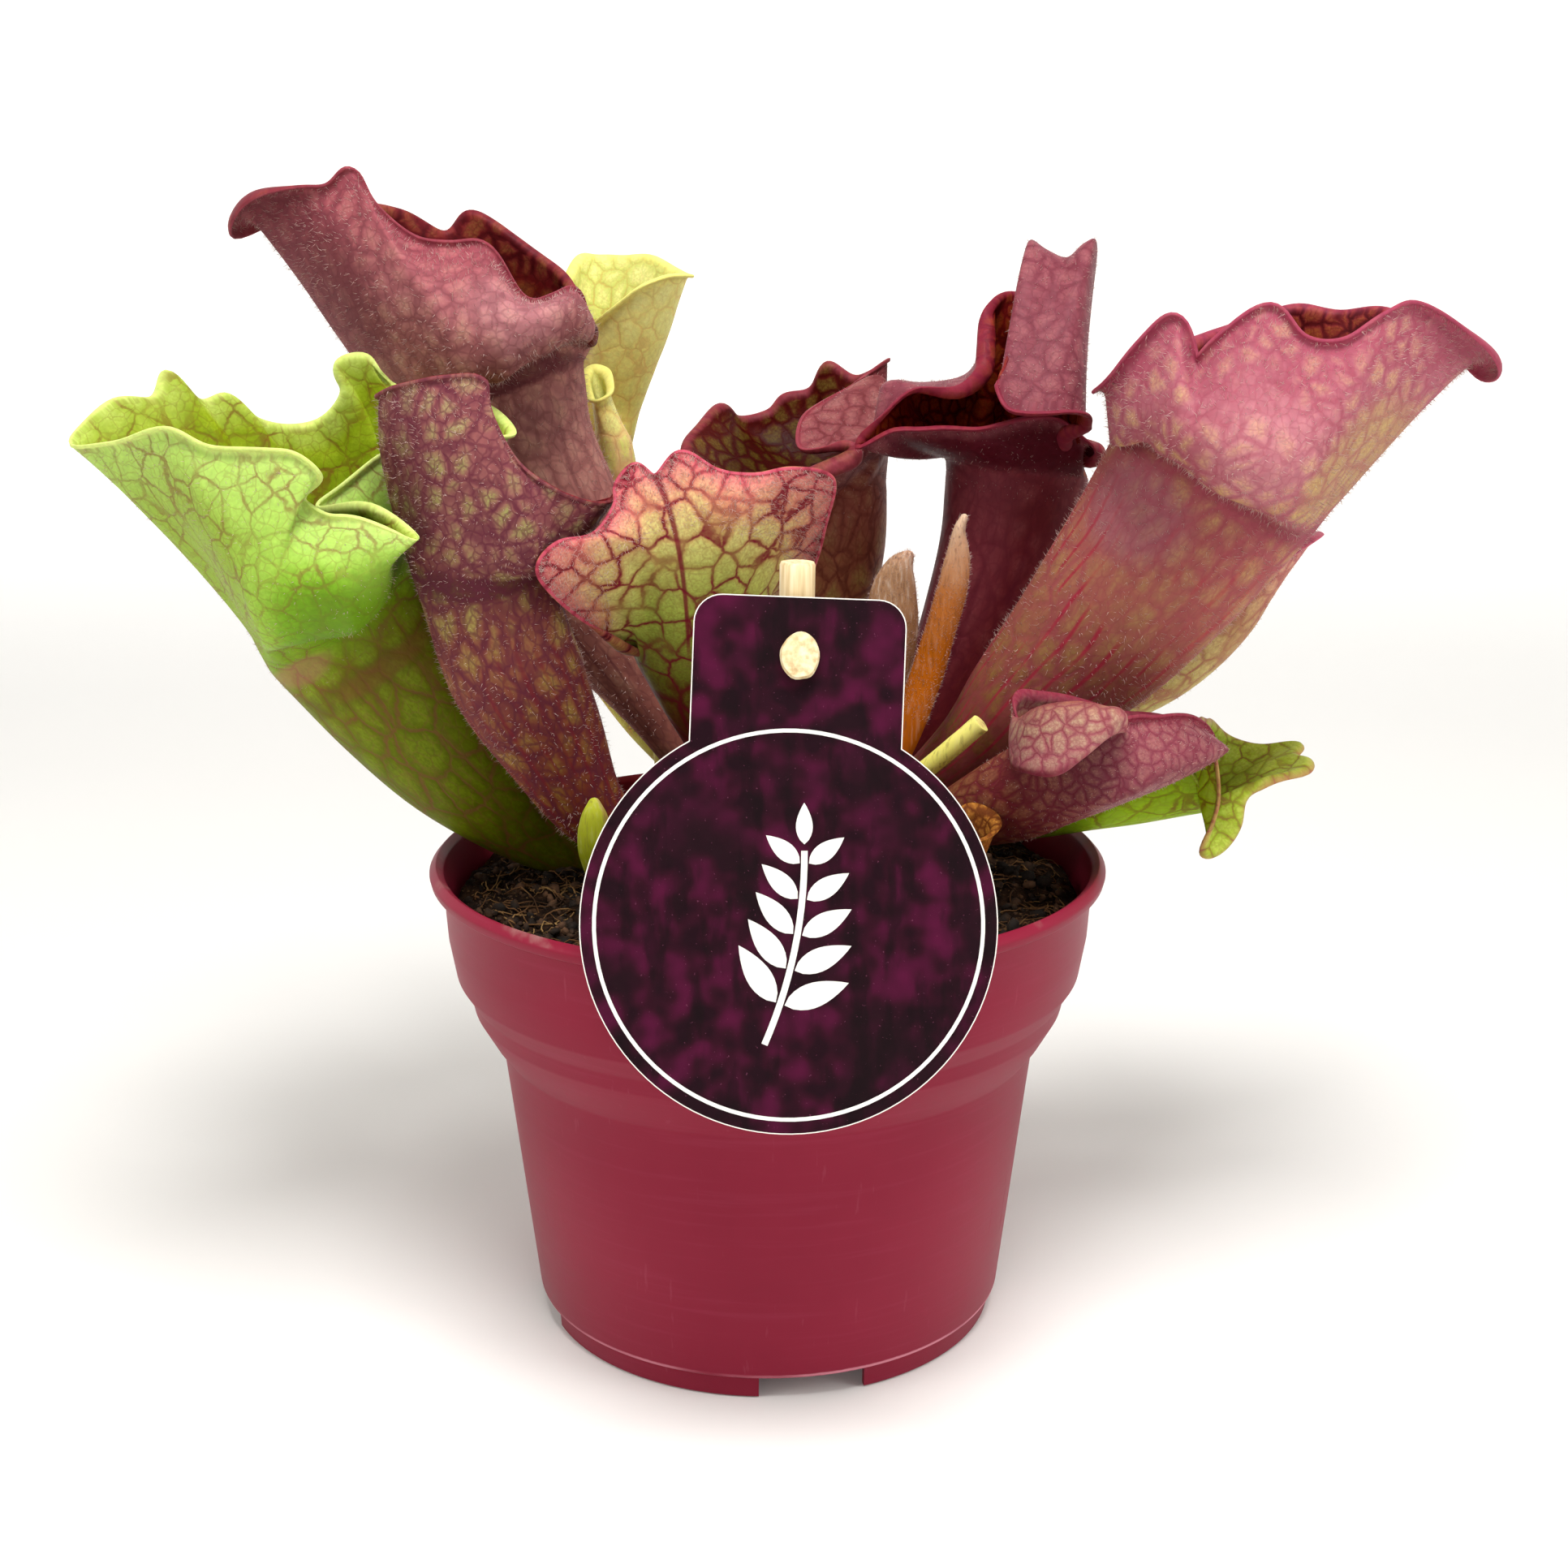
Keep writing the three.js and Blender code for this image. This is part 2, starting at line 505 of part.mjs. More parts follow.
// The pot: one turned wall with two steps and a rolled rim, feet, and drain holes.
const potProfile = [
  [0, 5.2], [0, FOOT_HEIGHT], [39.9, FOOT_HEIGHT], [39.9, 0], [41.3, 0], [41.6, 4],
  [42.9, 4.5], [47.4, 43.5], [48.4, 51.8], [50.4, 54.4], [53.3, 59.5], [53.9, 62.4],
  [56.2, 66], [57.4, 73], [58, 82.7], [60, 83], [60.4, 84.6], [59.2, 86], [57.8, 85],
  [56.3, 76], [55.1, 66.4], [52.6, 62.2], [51.3, 58.2], [47.2, 52], [47.4 - WALL, 43.5],
  [41.7, 5.2],
];
let pot = solid(turned(potProfile, POT_SEGMENTS));
const drains = [[0, 0]];
for (let i = 0; i < 4; i += 1) {
  const turn = THREE.MathUtils.degToRad(45 + 90 * i);
  drains.push([DRAIN_RING * Math.cos(turn), DRAIN_RING * Math.sin(turn)]);
}
for (const [x, y] of drains) {
  const drill = upright(new THREE.CylinderGeometry(DRAIN_RADIUS, DRAIN_RADIUS, 8, 12));
  pot = pot.subtract(solid(drill.translate(x, y, 4.6)));
}
for (let i = 0; i < 4; i += 1) {
  const notch = new THREE.BoxGeometry(12, FOOT_GAP_WIDTH, FOOT_HEIGHT);
  notch.translate(40, 0, FOOT_HEIGHT / 2 - 0.02);
  notch.rotateZ(THREE.MathUtils.degToRad(FOOT_GAP_TURN + 90 * i));
  pot = pot.subtract(solid(notch));
}
add('pot', geometryOf(pot), 0x9e3350, 0.5);

// The soil fills the pot to a few millimetres below the rim and rises in low mounds.
function soilRise(x, y) {
  return 0.7 * Math.sin(x * 0.16 + 1) * Math.cos(y * 0.14) + 0.4 * Math.sin(x * 0.31 - y * 0.27);
}
const soilRings = [50, 36, 20];
const soilProfile = [
  [0, 5.8], [41, 5.8], [46.2 - SOIL_CLEARANCE, 43.5], [46.7, 52], [50.6, 58.2], [52, 62.4],
  [54.4, 66.6], [55.8, SOIL_HEIGHT - 0.8], ...soilRings.map((r) => [r, SOIL_HEIGHT]), [0, SOIL_HEIGHT],
];
const soilShape = turned(soilProfile, 28);
const soilPoints = soilShape.getAttribute('position');
for (let i = 0; i < soilPoints.count; i += 1) {
  const x = soilPoints.getX(i);
  const y = soilPoints.getY(i);
  if (soilPoints.getZ(i) > SOIL_HEIGHT - 0.5) {
    soilPoints.setZ(i, SOIL_HEIGHT + soilRise(x, y));
  }
}
let soil = solid(soilShape);

// The rhizome lies just under the soil and shows at three growing points.
const knobs = [[-15, 12.5, 76.5, 4], [0, 42, 76.5, 3.8], [28, 19, 76.2, 3.6]];
const runner = [[-15, 12.5, 67], [-9, 25, 66], [0, 42, 67]];
const branch = [[-9, 25, 66], [10, 24, 66], [28, 19, 67]];
function rhizomeBody(grow) {
  const tube = (points) => {
    return solid(stem(points.map((point) => [...point, 2.8 + grow, 2.8 + grow])));
  };
  let body = tube(runner).add(tube(branch));
  knobs.forEach(([x, y, z, r]) => {
    const knob = stem([
      [x, y, 63.5 - grow, 1.6 + grow, 1.6 + grow], [x, y, 66, 3 + grow, 3 + grow],
      [x, y, z - 2, r + grow, r + grow], [x, y, z + 2.4, r + grow - 0.6, r + grow - 0.6],
      [x, y, z + 4.2 + grow, 1.2 + grow, 1.2 + grow],
    ]);
    body = body.add(solid(knob));
  });
  return body;
}
add('rhizome', geometryOf(rhizomeBody(0)), 0x4a3426, 0.9);
soil = soil.subtract(rhizomeBody(STEM_CLEARANCE));

for (const plant of plants) {
  add(plant.name, pitcher(plant), plant.colour, 0.45);
  soil = soil.subtract(stemRoom(plant.spine, plant.inSoil));
}
for (const bud of stems) {
  add(bud.name, stem(bud.spine), bud.colour, 0.6);
  soil = soil.subtract(stemRoom(bud.spine, bud.inSoil));
}

// The stick stands in the soil behind the label and leans a little with it.
const stickFoot = new THREE.Vector3(4, -44, 60);
const stickTop = new THREE.Vector3(5, -41.6, 145.5);
function rod(from, to, radius, segments) {
  const shaft = new THREE.CylinderGeometry(radius, radius, from.distanceTo(to), segments);
  const turn = new THREE.Quaternion().setFromUnitVectors(
    new THREE.Vector3(0, 1, 0),
    to.clone().sub(from).normalize(),
  );
  const middle = from.clone().add(to).multiplyScalar(0.5);
  return shaft.applyQuaternion(turn).translate(middle.x, middle.y, middle.z);
}
const stickRoomFoot = stickFoot.clone().sub(new THREE.Vector3(0, 0, 0.6));
soil = soil.subtract(solid(rod(stickRoomFoot, stickTop, STICK_RADIUS + STEM_CLEARANCE, 12)));
add('soil', geometryOf(soil), 0x33241a, 1);

// The label leans on the front of the rim. Its own frame has z towards the viewer.
const labelFrame = new THREE.Matrix4()
  .makeTranslation(3.6, -59.3, 92.1)
  .multiply(new THREE.Matrix4().makeRotationX(THREE.MathUtils.degToRad(90 - LABEL_LEAN)))
  .multiply(new THREE.Matrix4().makeRotationZ(THREE.MathUtils.degToRad(LABEL_TURN)));
const shoulder = Math.asin(LABEL_NECK / LABEL_RADIUS);
function arc(x, y, radius, from, to, steps) {
  return new THREE.EllipseCurve(x, y, radius, radius, from, to, to < from).getPoints(steps);
}
const cornerX = LABEL_NECK - LABEL_CORNER;
const cornerY = LABEL_TOP - LABEL_CORNER;
const outline = new THREE.Shape([
  ...arc(0, 0, LABEL_RADIUS, Math.PI / 2 + shoulder, Math.PI * 2.5 - shoulder, 40),
  ...arc(cornerX, cornerY, LABEL_CORNER, 0, Math.PI / 2, 4),
  ...arc(-cornerX, cornerY, LABEL_CORNER, Math.PI / 2, Math.PI, 4),
]);
outline.holes.push(new THREE.Path(arc(...LABEL_HOLE, 1.7, Math.PI * 2, 0, 12)));
const card = new THREE.ExtrudeGeometry(outline, { depth: LABEL_THICKNESS, bevelEnabled: false });
card.translate(0, 0, -LABEL_THICKNESS);
add('label_card', weld(card.applyMatrix4(labelFrame)), 0x3a1428, 0.35);

// The peg has a round head in front of the card and a pin that enters the stick.
const pegProfile = [
  [0, -6.6], [1.3, -6.6], [1.3, 0.3], [3.4, 0.3], [3.4, 1.9], [2.9, 2.4], [0, 2.4],
];
const placePeg = (geometry) => geometry
  .translate(LABEL_HOLE[0], LABEL_HOLE[1], 0)
  .applyMatrix4(labelFrame);
const peg = placePeg(turned(pegProfile, 16));
add('label_peg', weld(peg), 0xd8c09a, 0.6);
const bore = placePeg(upright(new THREE.CylinderGeometry(1.65, 1.65, 6, 12)).translate(0, 0, -4));
const stick = solid(rod(stickFoot, stickTop, STICK_RADIUS, 14)).subtract(solid(bore));
add('label_stick', geometryOf(stick), 0xd8c09a, 0.7);

export default object;
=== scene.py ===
import math
import bpy
import bmesh
import numpy as np
from mathutils import Matrix, Vector, noise


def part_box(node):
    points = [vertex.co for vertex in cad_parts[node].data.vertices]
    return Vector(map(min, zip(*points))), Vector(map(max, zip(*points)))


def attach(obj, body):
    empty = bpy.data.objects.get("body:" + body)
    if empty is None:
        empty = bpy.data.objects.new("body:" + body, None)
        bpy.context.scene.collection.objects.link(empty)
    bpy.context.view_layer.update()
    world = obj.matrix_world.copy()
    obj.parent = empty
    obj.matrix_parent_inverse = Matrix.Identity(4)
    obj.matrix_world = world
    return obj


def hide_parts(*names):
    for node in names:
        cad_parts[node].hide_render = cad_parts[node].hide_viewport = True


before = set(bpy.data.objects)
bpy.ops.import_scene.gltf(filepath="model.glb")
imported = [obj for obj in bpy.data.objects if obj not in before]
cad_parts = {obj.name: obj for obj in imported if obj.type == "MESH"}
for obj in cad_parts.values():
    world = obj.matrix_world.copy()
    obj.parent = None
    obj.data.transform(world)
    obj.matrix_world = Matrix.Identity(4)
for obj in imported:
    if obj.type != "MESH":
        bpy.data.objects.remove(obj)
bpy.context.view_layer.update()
mm = 0.001
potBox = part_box("pot")
potAxis = Vector(((potBox[0].x + potBox[1].x) / 2, (potBox[0].y + potBox[1].y) / 2, 0))
print("frame loaded,", len(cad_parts), "nodes")


# camera, floor and light

view = {
    "place": (0.0029, -0.383, 0.2035),       # from the pot's axis
    "pitch": 15.36,          # degrees below level
    "lens": 51.06,
    "sensor": 36,
    "clip": 0.01,
    "sky": 0.28,
    "lampSize": 0.5,
    "lamps": [               # name, place, target, power and colour
        ("above", (0.05, -0.38, 1.05), (0, 0, 0.12), 11.5, (1, 1, 1)),
        ("left", (-0.8, -0.45, 0.55), (0, 0, 0.1), 2.3, (1.0, 0.98, 0.95)),
        ("right", (0.85, -0.4, 0.5), (0, 0, 0.08), 3.0, (1, 1, 1)),
    ],
    "floor": [(0, 0), (1200, 0), (1450, 40), (1650, 150), (1780, 340), (1830, 600), (1850, 1300)],
    "floorSteps": 64,
    "floorDrop": 0.0002,     # keeps the floor just clear of the pot's feet
}


def addCamera():
    data = bpy.data.cameras.new("camera")
    data.sensor_fit = "HORIZONTAL"
    data.sensor_width = view["sensor"]
    data.lens = view["lens"]
    data.clip_start = view["clip"]
    camera = bpy.data.objects.new("camera", data)
    camera.location = Vector(view["place"]) + potAxis
    camera.rotation_euler = (math.radians(90 - view["pitch"]), 0, 0)
    bpy.context.collection.objects.link(camera)
    bpy.context.scene.camera = camera


def addLight(name, place, target, power, colour):
    data = bpy.data.lights.new(name, "AREA")
    data.shape = "DISK"
    data.size = view["lampSize"]
    data.energy = power
    data.color = colour
    lamp = bpy.data.objects.new(name, data)
    lamp.location = place
    lamp.rotation_euler = (Vector(target) - Vector(place)).to_track_quat("-Z", "Y").to_euler()
    bpy.context.collection.objects.link(lamp)


def addSky():
    world = bpy.data.worlds.new("sky")
    world.use_nodes = True
    world.node_tree.nodes["Background"].inputs["Color"].default_value = (1, 1, 1, 1)
    world.node_tree.nodes["Background"].inputs["Strength"].default_value = view["sky"]
    bpy.context.scene.world = world
    bpy.context.scene.view_settings.view_transform = "Standard"


# shader writing

class Link:
    # wraps a socket, so that sums on values add their Math nodes

    def __init__(self, paint, socket):
        self.paint = paint
        self.socket = socket

    def math(self, operation, first, second):
        return self.paint.node("ShaderNodeMath", {"operation": operation}, {0: first, 1: second})

    def __add__(self, other):
        return self.math("ADD", self, other)

    def __radd__(self, other):
        return self.math("ADD", other, self)

    def __sub__(self, other):
        return self.math("SUBTRACT", self, other)

    def __rsub__(self, other):
        return self.math("SUBTRACT", other, self)

    def __mul__(self, other):
        return self.math("MULTIPLY", self, other)

    def __truediv__(self, other):
        return self.math("DIVIDE", self, other)

    def __pow__(self, other):
        return self.math("POWER", self, other)

    def __abs__(self):
        return self.math("ABSOLUTE", self, 0)

    def folded(self):
        # runs from 0 up to a half and back again, over and over
        return self.math("PINGPONG", self, 0.5)


class Paint:
    # one material and the nodes in it

    def __init__(self, name):
        self.material = bpy.data.materials.new(name)
        self.material.use_nodes = True
        self.tree = self.material.node_tree
        self.shader = self.tree.nodes["Principled BSDF"]

    def node(self, kind, settings=None, inputs=None, out=0):
        made = self.tree.nodes.new(kind)
        for key, value in (settings or {}).items():
            if key == "stops":
                while len(made.color_ramp.elements) < len(value):
                    made.color_ramp.elements.new(0.5)
                for element, (place, colour) in zip(made.color_ramp.elements, value):
                    element.position = place
                    element.color = colour
            else:
                setattr(made, key, value)
        for key, value in (inputs or {}).items():
            self.join(value, made.inputs[key])
        return Link(self, made.outputs[out])

    def join(self, value, socket):
        if isinstance(value, Link):
            self.tree.links.new(value.socket, socket)
        else:
            socket.default_value = value

    def objectPlace(self):
        return self.node("ShaderNodeTexCoord", out="Object")

    def attribute(self, name):
        return self.node("ShaderNodeAttribute", {"attribute_name": name}, out="Vector")

    def split(self, value):
        # the three parts of a vector
        parts = self.node("ShaderNodeSeparateXYZ", None, {0: value})
        return [Link(self, socket) for socket in parts.socket.node.outputs]

    def around(self):
        # how far round a piece and how far up it a point lies, both from 0 to 1
        return self.split(self.node("ShaderNodeUVMap", {"uv_map": "around"}))[:2]

    def scaled(self, place, factors):
        return self.node("ShaderNodeVectorMath", {"operation": "MULTIPLY"}, {0: place, 1: factors})

    def noise(self, place, scale, detail=2.0, out="Fac"):
        values = {"Vector": place, "Scale": scale, "Detail": detail}
        return self.node("ShaderNodeTexNoise", None, values, out)

    def warped(self, place, scale, amount):
        # the place pushed about by a noise, so that edges wander
        push = self.noise(place, scale, 2.0, "Color")
        centred = self.node("ShaderNodeVectorMath", {"operation": "SUBTRACT"},
                            {0: push, 1: (0.5, 0.5, 0.5)})
        pushed = self.scaled(centred, (amount, amount, amount))
        return self.node("ShaderNodeVectorMath", {"operation": "ADD"}, {0: place, 1: pushed})

    def edges(self, place, scale):
        # how far a point is from the edge of its cell
        settings = {"feature": "DISTANCE_TO_EDGE"}
        return self.node("ShaderNodeTexVoronoi", settings, {"Vector": place, "Scale": scale})

    def step(self, value, low, high):
        settings = {"interpolation_type": "SMOOTHSTEP"}
        return self.node("ShaderNodeMapRange", settings, {0: value, 1: low, 2: high})

    def ramp(self, value, stops):
        return self.node("ShaderNodeValToRGB", {"stops": stops}, {"Fac": value})

    def blend(self, factor, first, second, how="MIX"):
        settings = {"data_type": "RGBA", "blend_type": how}
        return self.node("ShaderNodeMix", settings, {0: factor, 6: first, 7: second}, 2)

    def finish(self, colour, roughness, height=None, depth=0.0002, strength=0.6, **fixed):
        self.join(colour, self.shader.inputs["Base Color"])
        self.join(roughness, self.shader.inputs["Roughness"])
        if height is not None:
            bump = self.node("ShaderNodeBump", None,
                             {"Height": height, "Distance": depth, "Strength": strength})
            self.join(bump, self.shader.inputs["Normal"])
        for key, value in fixed.items():
            self.shader.inputs[key.replace("_", " ")].default_value = value
        return self.material


def tint(hexCode):
    # a colour as seen on a screen, made linear
    parts = [int(hexCode[i:i + 2], 16) / 255 for i in (0, 2, 4)]
    line = [c / 12.92 if c <= 0.04045 else ((c + 0.055) / 1.055) ** 2.4 for c in parts]
    return (*line, 1.0)


def stopsOf(rows):
    return [(place, tint(code)) for place, code in rows]


# helpers for meshes

def addPiece(name, mesh, paints):
    for paint in paints:
        mesh.materials.append(paint)
    piece = bpy.data.objects.new(name, mesh)
    bpy.context.collection.objects.link(piece)
    return piece


def keep(bm, name, paints, smooth=True):
    # makes an object of a bmesh whose places are counted from the pot's axis
    bmesh.ops.translate(bm, verts=bm.verts, vec=potAxis)
    mesh = bpy.data.meshes.new(name)
    bm.to_mesh(mesh)
    bm.free()
    if smooth:
        mesh.shade_smooth()
    return addPiece(name, mesh, paints)


def shapeOf(bm):
    # the points and faces of a small shape, for copies()
    points = np.array([v.co for v in bm.verts])
    faces = [[v.index for v in face.verts] for face in bm.faces]
    bm.free()
    return points, faces


def copies(name, spots, faces, paint):
    # one piece of many copies of a small shape, from the points of each copy
    count, block = spots.shape[:2]
    listed = [[k * block + i for i in face] for k in range(count) for face in faces]
    mesh = bpy.data.meshes.new(name)
    mesh.from_pydata((spots.reshape(-1, 3) + np.array(potAxis)).tolist(), [], listed)
    return addPiece(name, mesh, [paint])


def smoothOut(piece):
    smooth = piece.modifiers.new("smooth", "SUBSURF")
    smooth.levels = 1
    smooth.render_levels = 1


def settle(piece):
    # applies the modifiers of a piece
    graph = bpy.context.evaluated_depsgraph_get()
    mesh = bpy.data.meshes.new_from_object(piece.evaluated_get(graph))
    piece.modifiers.clear()
    piece.data = mesh


def place(piece, slotName, *nodes):
    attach(piece, "root")
    if nodes:
        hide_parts(*nodes)


def wrapped(rows):
    # a grid whose columns close into a tube, one row of points after the other
    count = len(rows[0])
    bm = bmesh.new()
    bmesh.ops.create_grid(bm, x_segments=count, y_segments=len(rows) - 1, size=1, calc_uvs=False)
    uv = bm.loops.layers.uv.new("around")
    column = bm.verts.layers.int.new("column")
    level = bm.verts.layers.int.new("level")
    for v in bm.verts:
        v[column] = round((v.co.x + 1) / 2 * count)
        v[level] = round((v.co.y + 1) / 2 * (len(rows) - 1))
    for face in bm.faces:
        for loop in face.loops:
            across = loop.vert[column] / count
            loop[uv].uv = (across, loop.vert[level] / (len(rows) - 1))
    for v in bm.verts:
        v.co = rows[v[level]][v[column] % count]
    return bm


def closeUp(bm):
    bmesh.ops.remove_doubles(bm, verts=bm.verts, dist=1e-7)
    bmesh.ops.recalc_face_normals(bm, faces=bm.faces)


def faceOut(bm, centre, reach=0.012):
    # turns an open shell about if the faces within reach of its foot look inwards
    bm.normal_update()
    foot = [f for f in bm.faces if (f.calc_center_median() - centre).length < reach]
    if sum((f.calc_center_median() - centre).dot(f.normal) * f.calc_area() for f in foot) < 0:
        bmesh.ops.reverse_faces(bm, faces=bm.faces)


# how a leaf grows: a spine, a rim, and rows of points between them, all in mm from the pot's axis

leafBuild = {
    "tubeSteps": 3,          # rows between two stations of a spine
    "headRows": 16,
    "rollRows": 6,
    "perGap": 4,             # columns between two points of a rim
    "skin": 0.65,
    "neckLift": 0.55,        # where the neck lies between foot 0 and margin 1
    "rimLift": 0.95,
    "slant": 0.17,           # how far a head's side leans on its way up
    "lowBelly": (0.15, 0.55, 0.35, -0.25),       # shares of spread and rise, plain and by fullness
    "highBelly": (0.75, 0.3, 0.75, -0.15),
    "stretch": 0.62,         # the net's cells are longer than wide
    "swell": 0.35,           # soft unevenness of the surface
    "swellScale": 90,
    "swellStart": 8,         # how soon it sets in above the foot
    "fineSwell": 0.4,
    "fineScale": 260,
    "roll": [(0, 0.8, 120)],     # angle, radius and turn of the rolled margin
    "rollSeat": 0.8,         # how far a rolled margin is drawn in, in radii
    "tighten": 0.35,         # what a roll's radius loses in a full turn
    "crease": 0.4,
}
lapForm = {                  # amount, middle and width along the head
    "out": (0.55, 0.46, 0.17),
    "down": (0.95, 0.34, 0.14),
    "creaseIn": (1.0, 0.15, 0.1),
    "creaseDown": (0.8, 0.13, 0.08),
    "start": (1.0, 0, 0.06),
}


def stationAt(spine, t):
    last = len(spine) - 1
    i = min(int(t), last - 1)
    before = spine[i - 1] if i > 0 else 2 * spine[i] - spine[i + 1]
    after = spine[i + 2] if i + 2 <= last else 2 * spine[i + 1] - spine[i]
    a, b, c, d, f = before, spine[i], spine[i + 1], after, t - i
    return 0.5 * (2 * b + (c - a) * f + (2 * a - 5 * b + 4 * c - d) * f ** 2
                  + (3 * b - a - 3 * c + d) * f ** 3)


def unit(v):
    return v / np.linalg.norm(v, axis=-1, keepdims=True)


def alongAt(spine, t):
    last = len(spine) - 1
    return unit(stationAt(spine, min(t + 0.001, last))[:3] - stationAt(spine, max(t - 0.001, 0))[:3])


def ringAt(spine, t, turns):
    station = stationAt(spine, t)
    along = alongAt(spine, t)
    side = unit(np.cross(along, (0, -1, 0)))
    front = np.cross(side, along)
    return (station[:3] + np.outer(np.sin(turns) * station[3], side)
            + np.outer(np.cos(turns) * station[4], front))


def between(values, angles, gaps, parts):
    # a smooth closed curve through values that stand at uneven angles
    n = len(angles)
    values = np.array(values, float)

    def value(i):
        return values[i % n]

    def angle(i):
        return np.array(angles)[i % n] + 360.0 * (i // n)

    width = (angle(gaps + 1) - angle(gaps))[:, None]

    def slope(i):
        after = (value(i + 1) - value(i)) / (angle(i + 1) - angle(i))[:, None]
        before = (value(i) - value(i - 1)) / (angle(i) - angle(i - 1))[:, None]
        return (after + before) / 2 * width

    f = parts[:, None]
    return ((2 * f ** 3 - 3 * f ** 2 + 1) * value(gaps) + (f ** 3 - 2 * f ** 2 + f) * slope(gaps)
            + (3 * f ** 2 - 2 * f ** 3) * value(gaps + 1) + (f ** 3 - f ** 2) * slope(gaps + 1))


def headRow(neck, belly, margin, s):
    middle = (8 * belly - neck - margin) / 3
    slant = (neck - margin) * leafBuild["slant"]
    first = middle / 2 + slant
    second = middle / 2 - slant
    return ((1 - s) ** 3 * neck + 3 * (1 - s) ** 2 * s * first
            + 3 * (1 - s) * s ** 2 * second + s ** 3 * margin)


def defaultBelly(row, neck, margin, along, bowl):
    # the belly point of a rim row that has none, by how full the head is there
    full = row[4] if len(row) == 5 else bowl
    reach = margin - neck
    rise = along * (reach @ along)
    spread = reach - rise
    low, high = [neck + spread * (a + b * full) + rise * (c + d * full)
                 for a, b, c, d in (leafBuild["lowBelly"], leafBuild["highBelly"])]
    return (neck + 3 * low + 3 * high + margin) / 8


def rolledRows(last, before, radius, turn, steps):
    # the margin turns outwards in a spiral that tightens a little
    onward = unit(last - before)
    around = np.roll(last, -1, axis=0) - np.roll(last, 1, axis=0)
    out = unit(np.cross(around, onward))
    rows = []
    here = last
    for k in range(steps):
        phi = (turn * (k + 0.5) / steps)[:, None]
        length = (radius * (1 - leafBuild["tighten"] * phi[:, 0] / math.tau) * turn / steps)[:, None]
        here = here + (onward * np.cos(phi) + out * np.sin(phi)) * length
        rows.append(here)
    return rows


def openAngles(rim):
    # the angles of a rim, counted on past 360
    first = rim[0][0]
    return [first + (row[0] - first) % 360 for row in rim]


def turnOf(rim, angle):
    # where an angle lies on the leaf's own map
    angles = openAngles(rim)
    onward = angles[0] + (angle - angles[0]) % 360
    return float(np.interp(onward, angles + [angles[0] + 360], np.arange(len(rim) + 1) / len(rim)))


def tableAt(table, degrees, column):
    # reads a table of angles and values all the way round
    table = np.array(table, float)
    return np.interp(degrees, table[:, 0], table[:, column], period=360)


def bump(s, amount, centre, width):
    return amount * math.exp(-((s - centre) / width) ** 2)


def lapShift(s, lap, crease, out, along):
    # pulls the head out and down over its neck, with a crease under it
    reach = bump(s, *lapForm["out"]) - crease * bump(s, *lapForm["creaseIn"])
    drop = bump(s, *lapForm["down"]) - crease * bump(s, *lapForm["creaseDown"])
    return lap * (out * reach - along * drop) * (1 - bump(s, *lapForm["start"]))


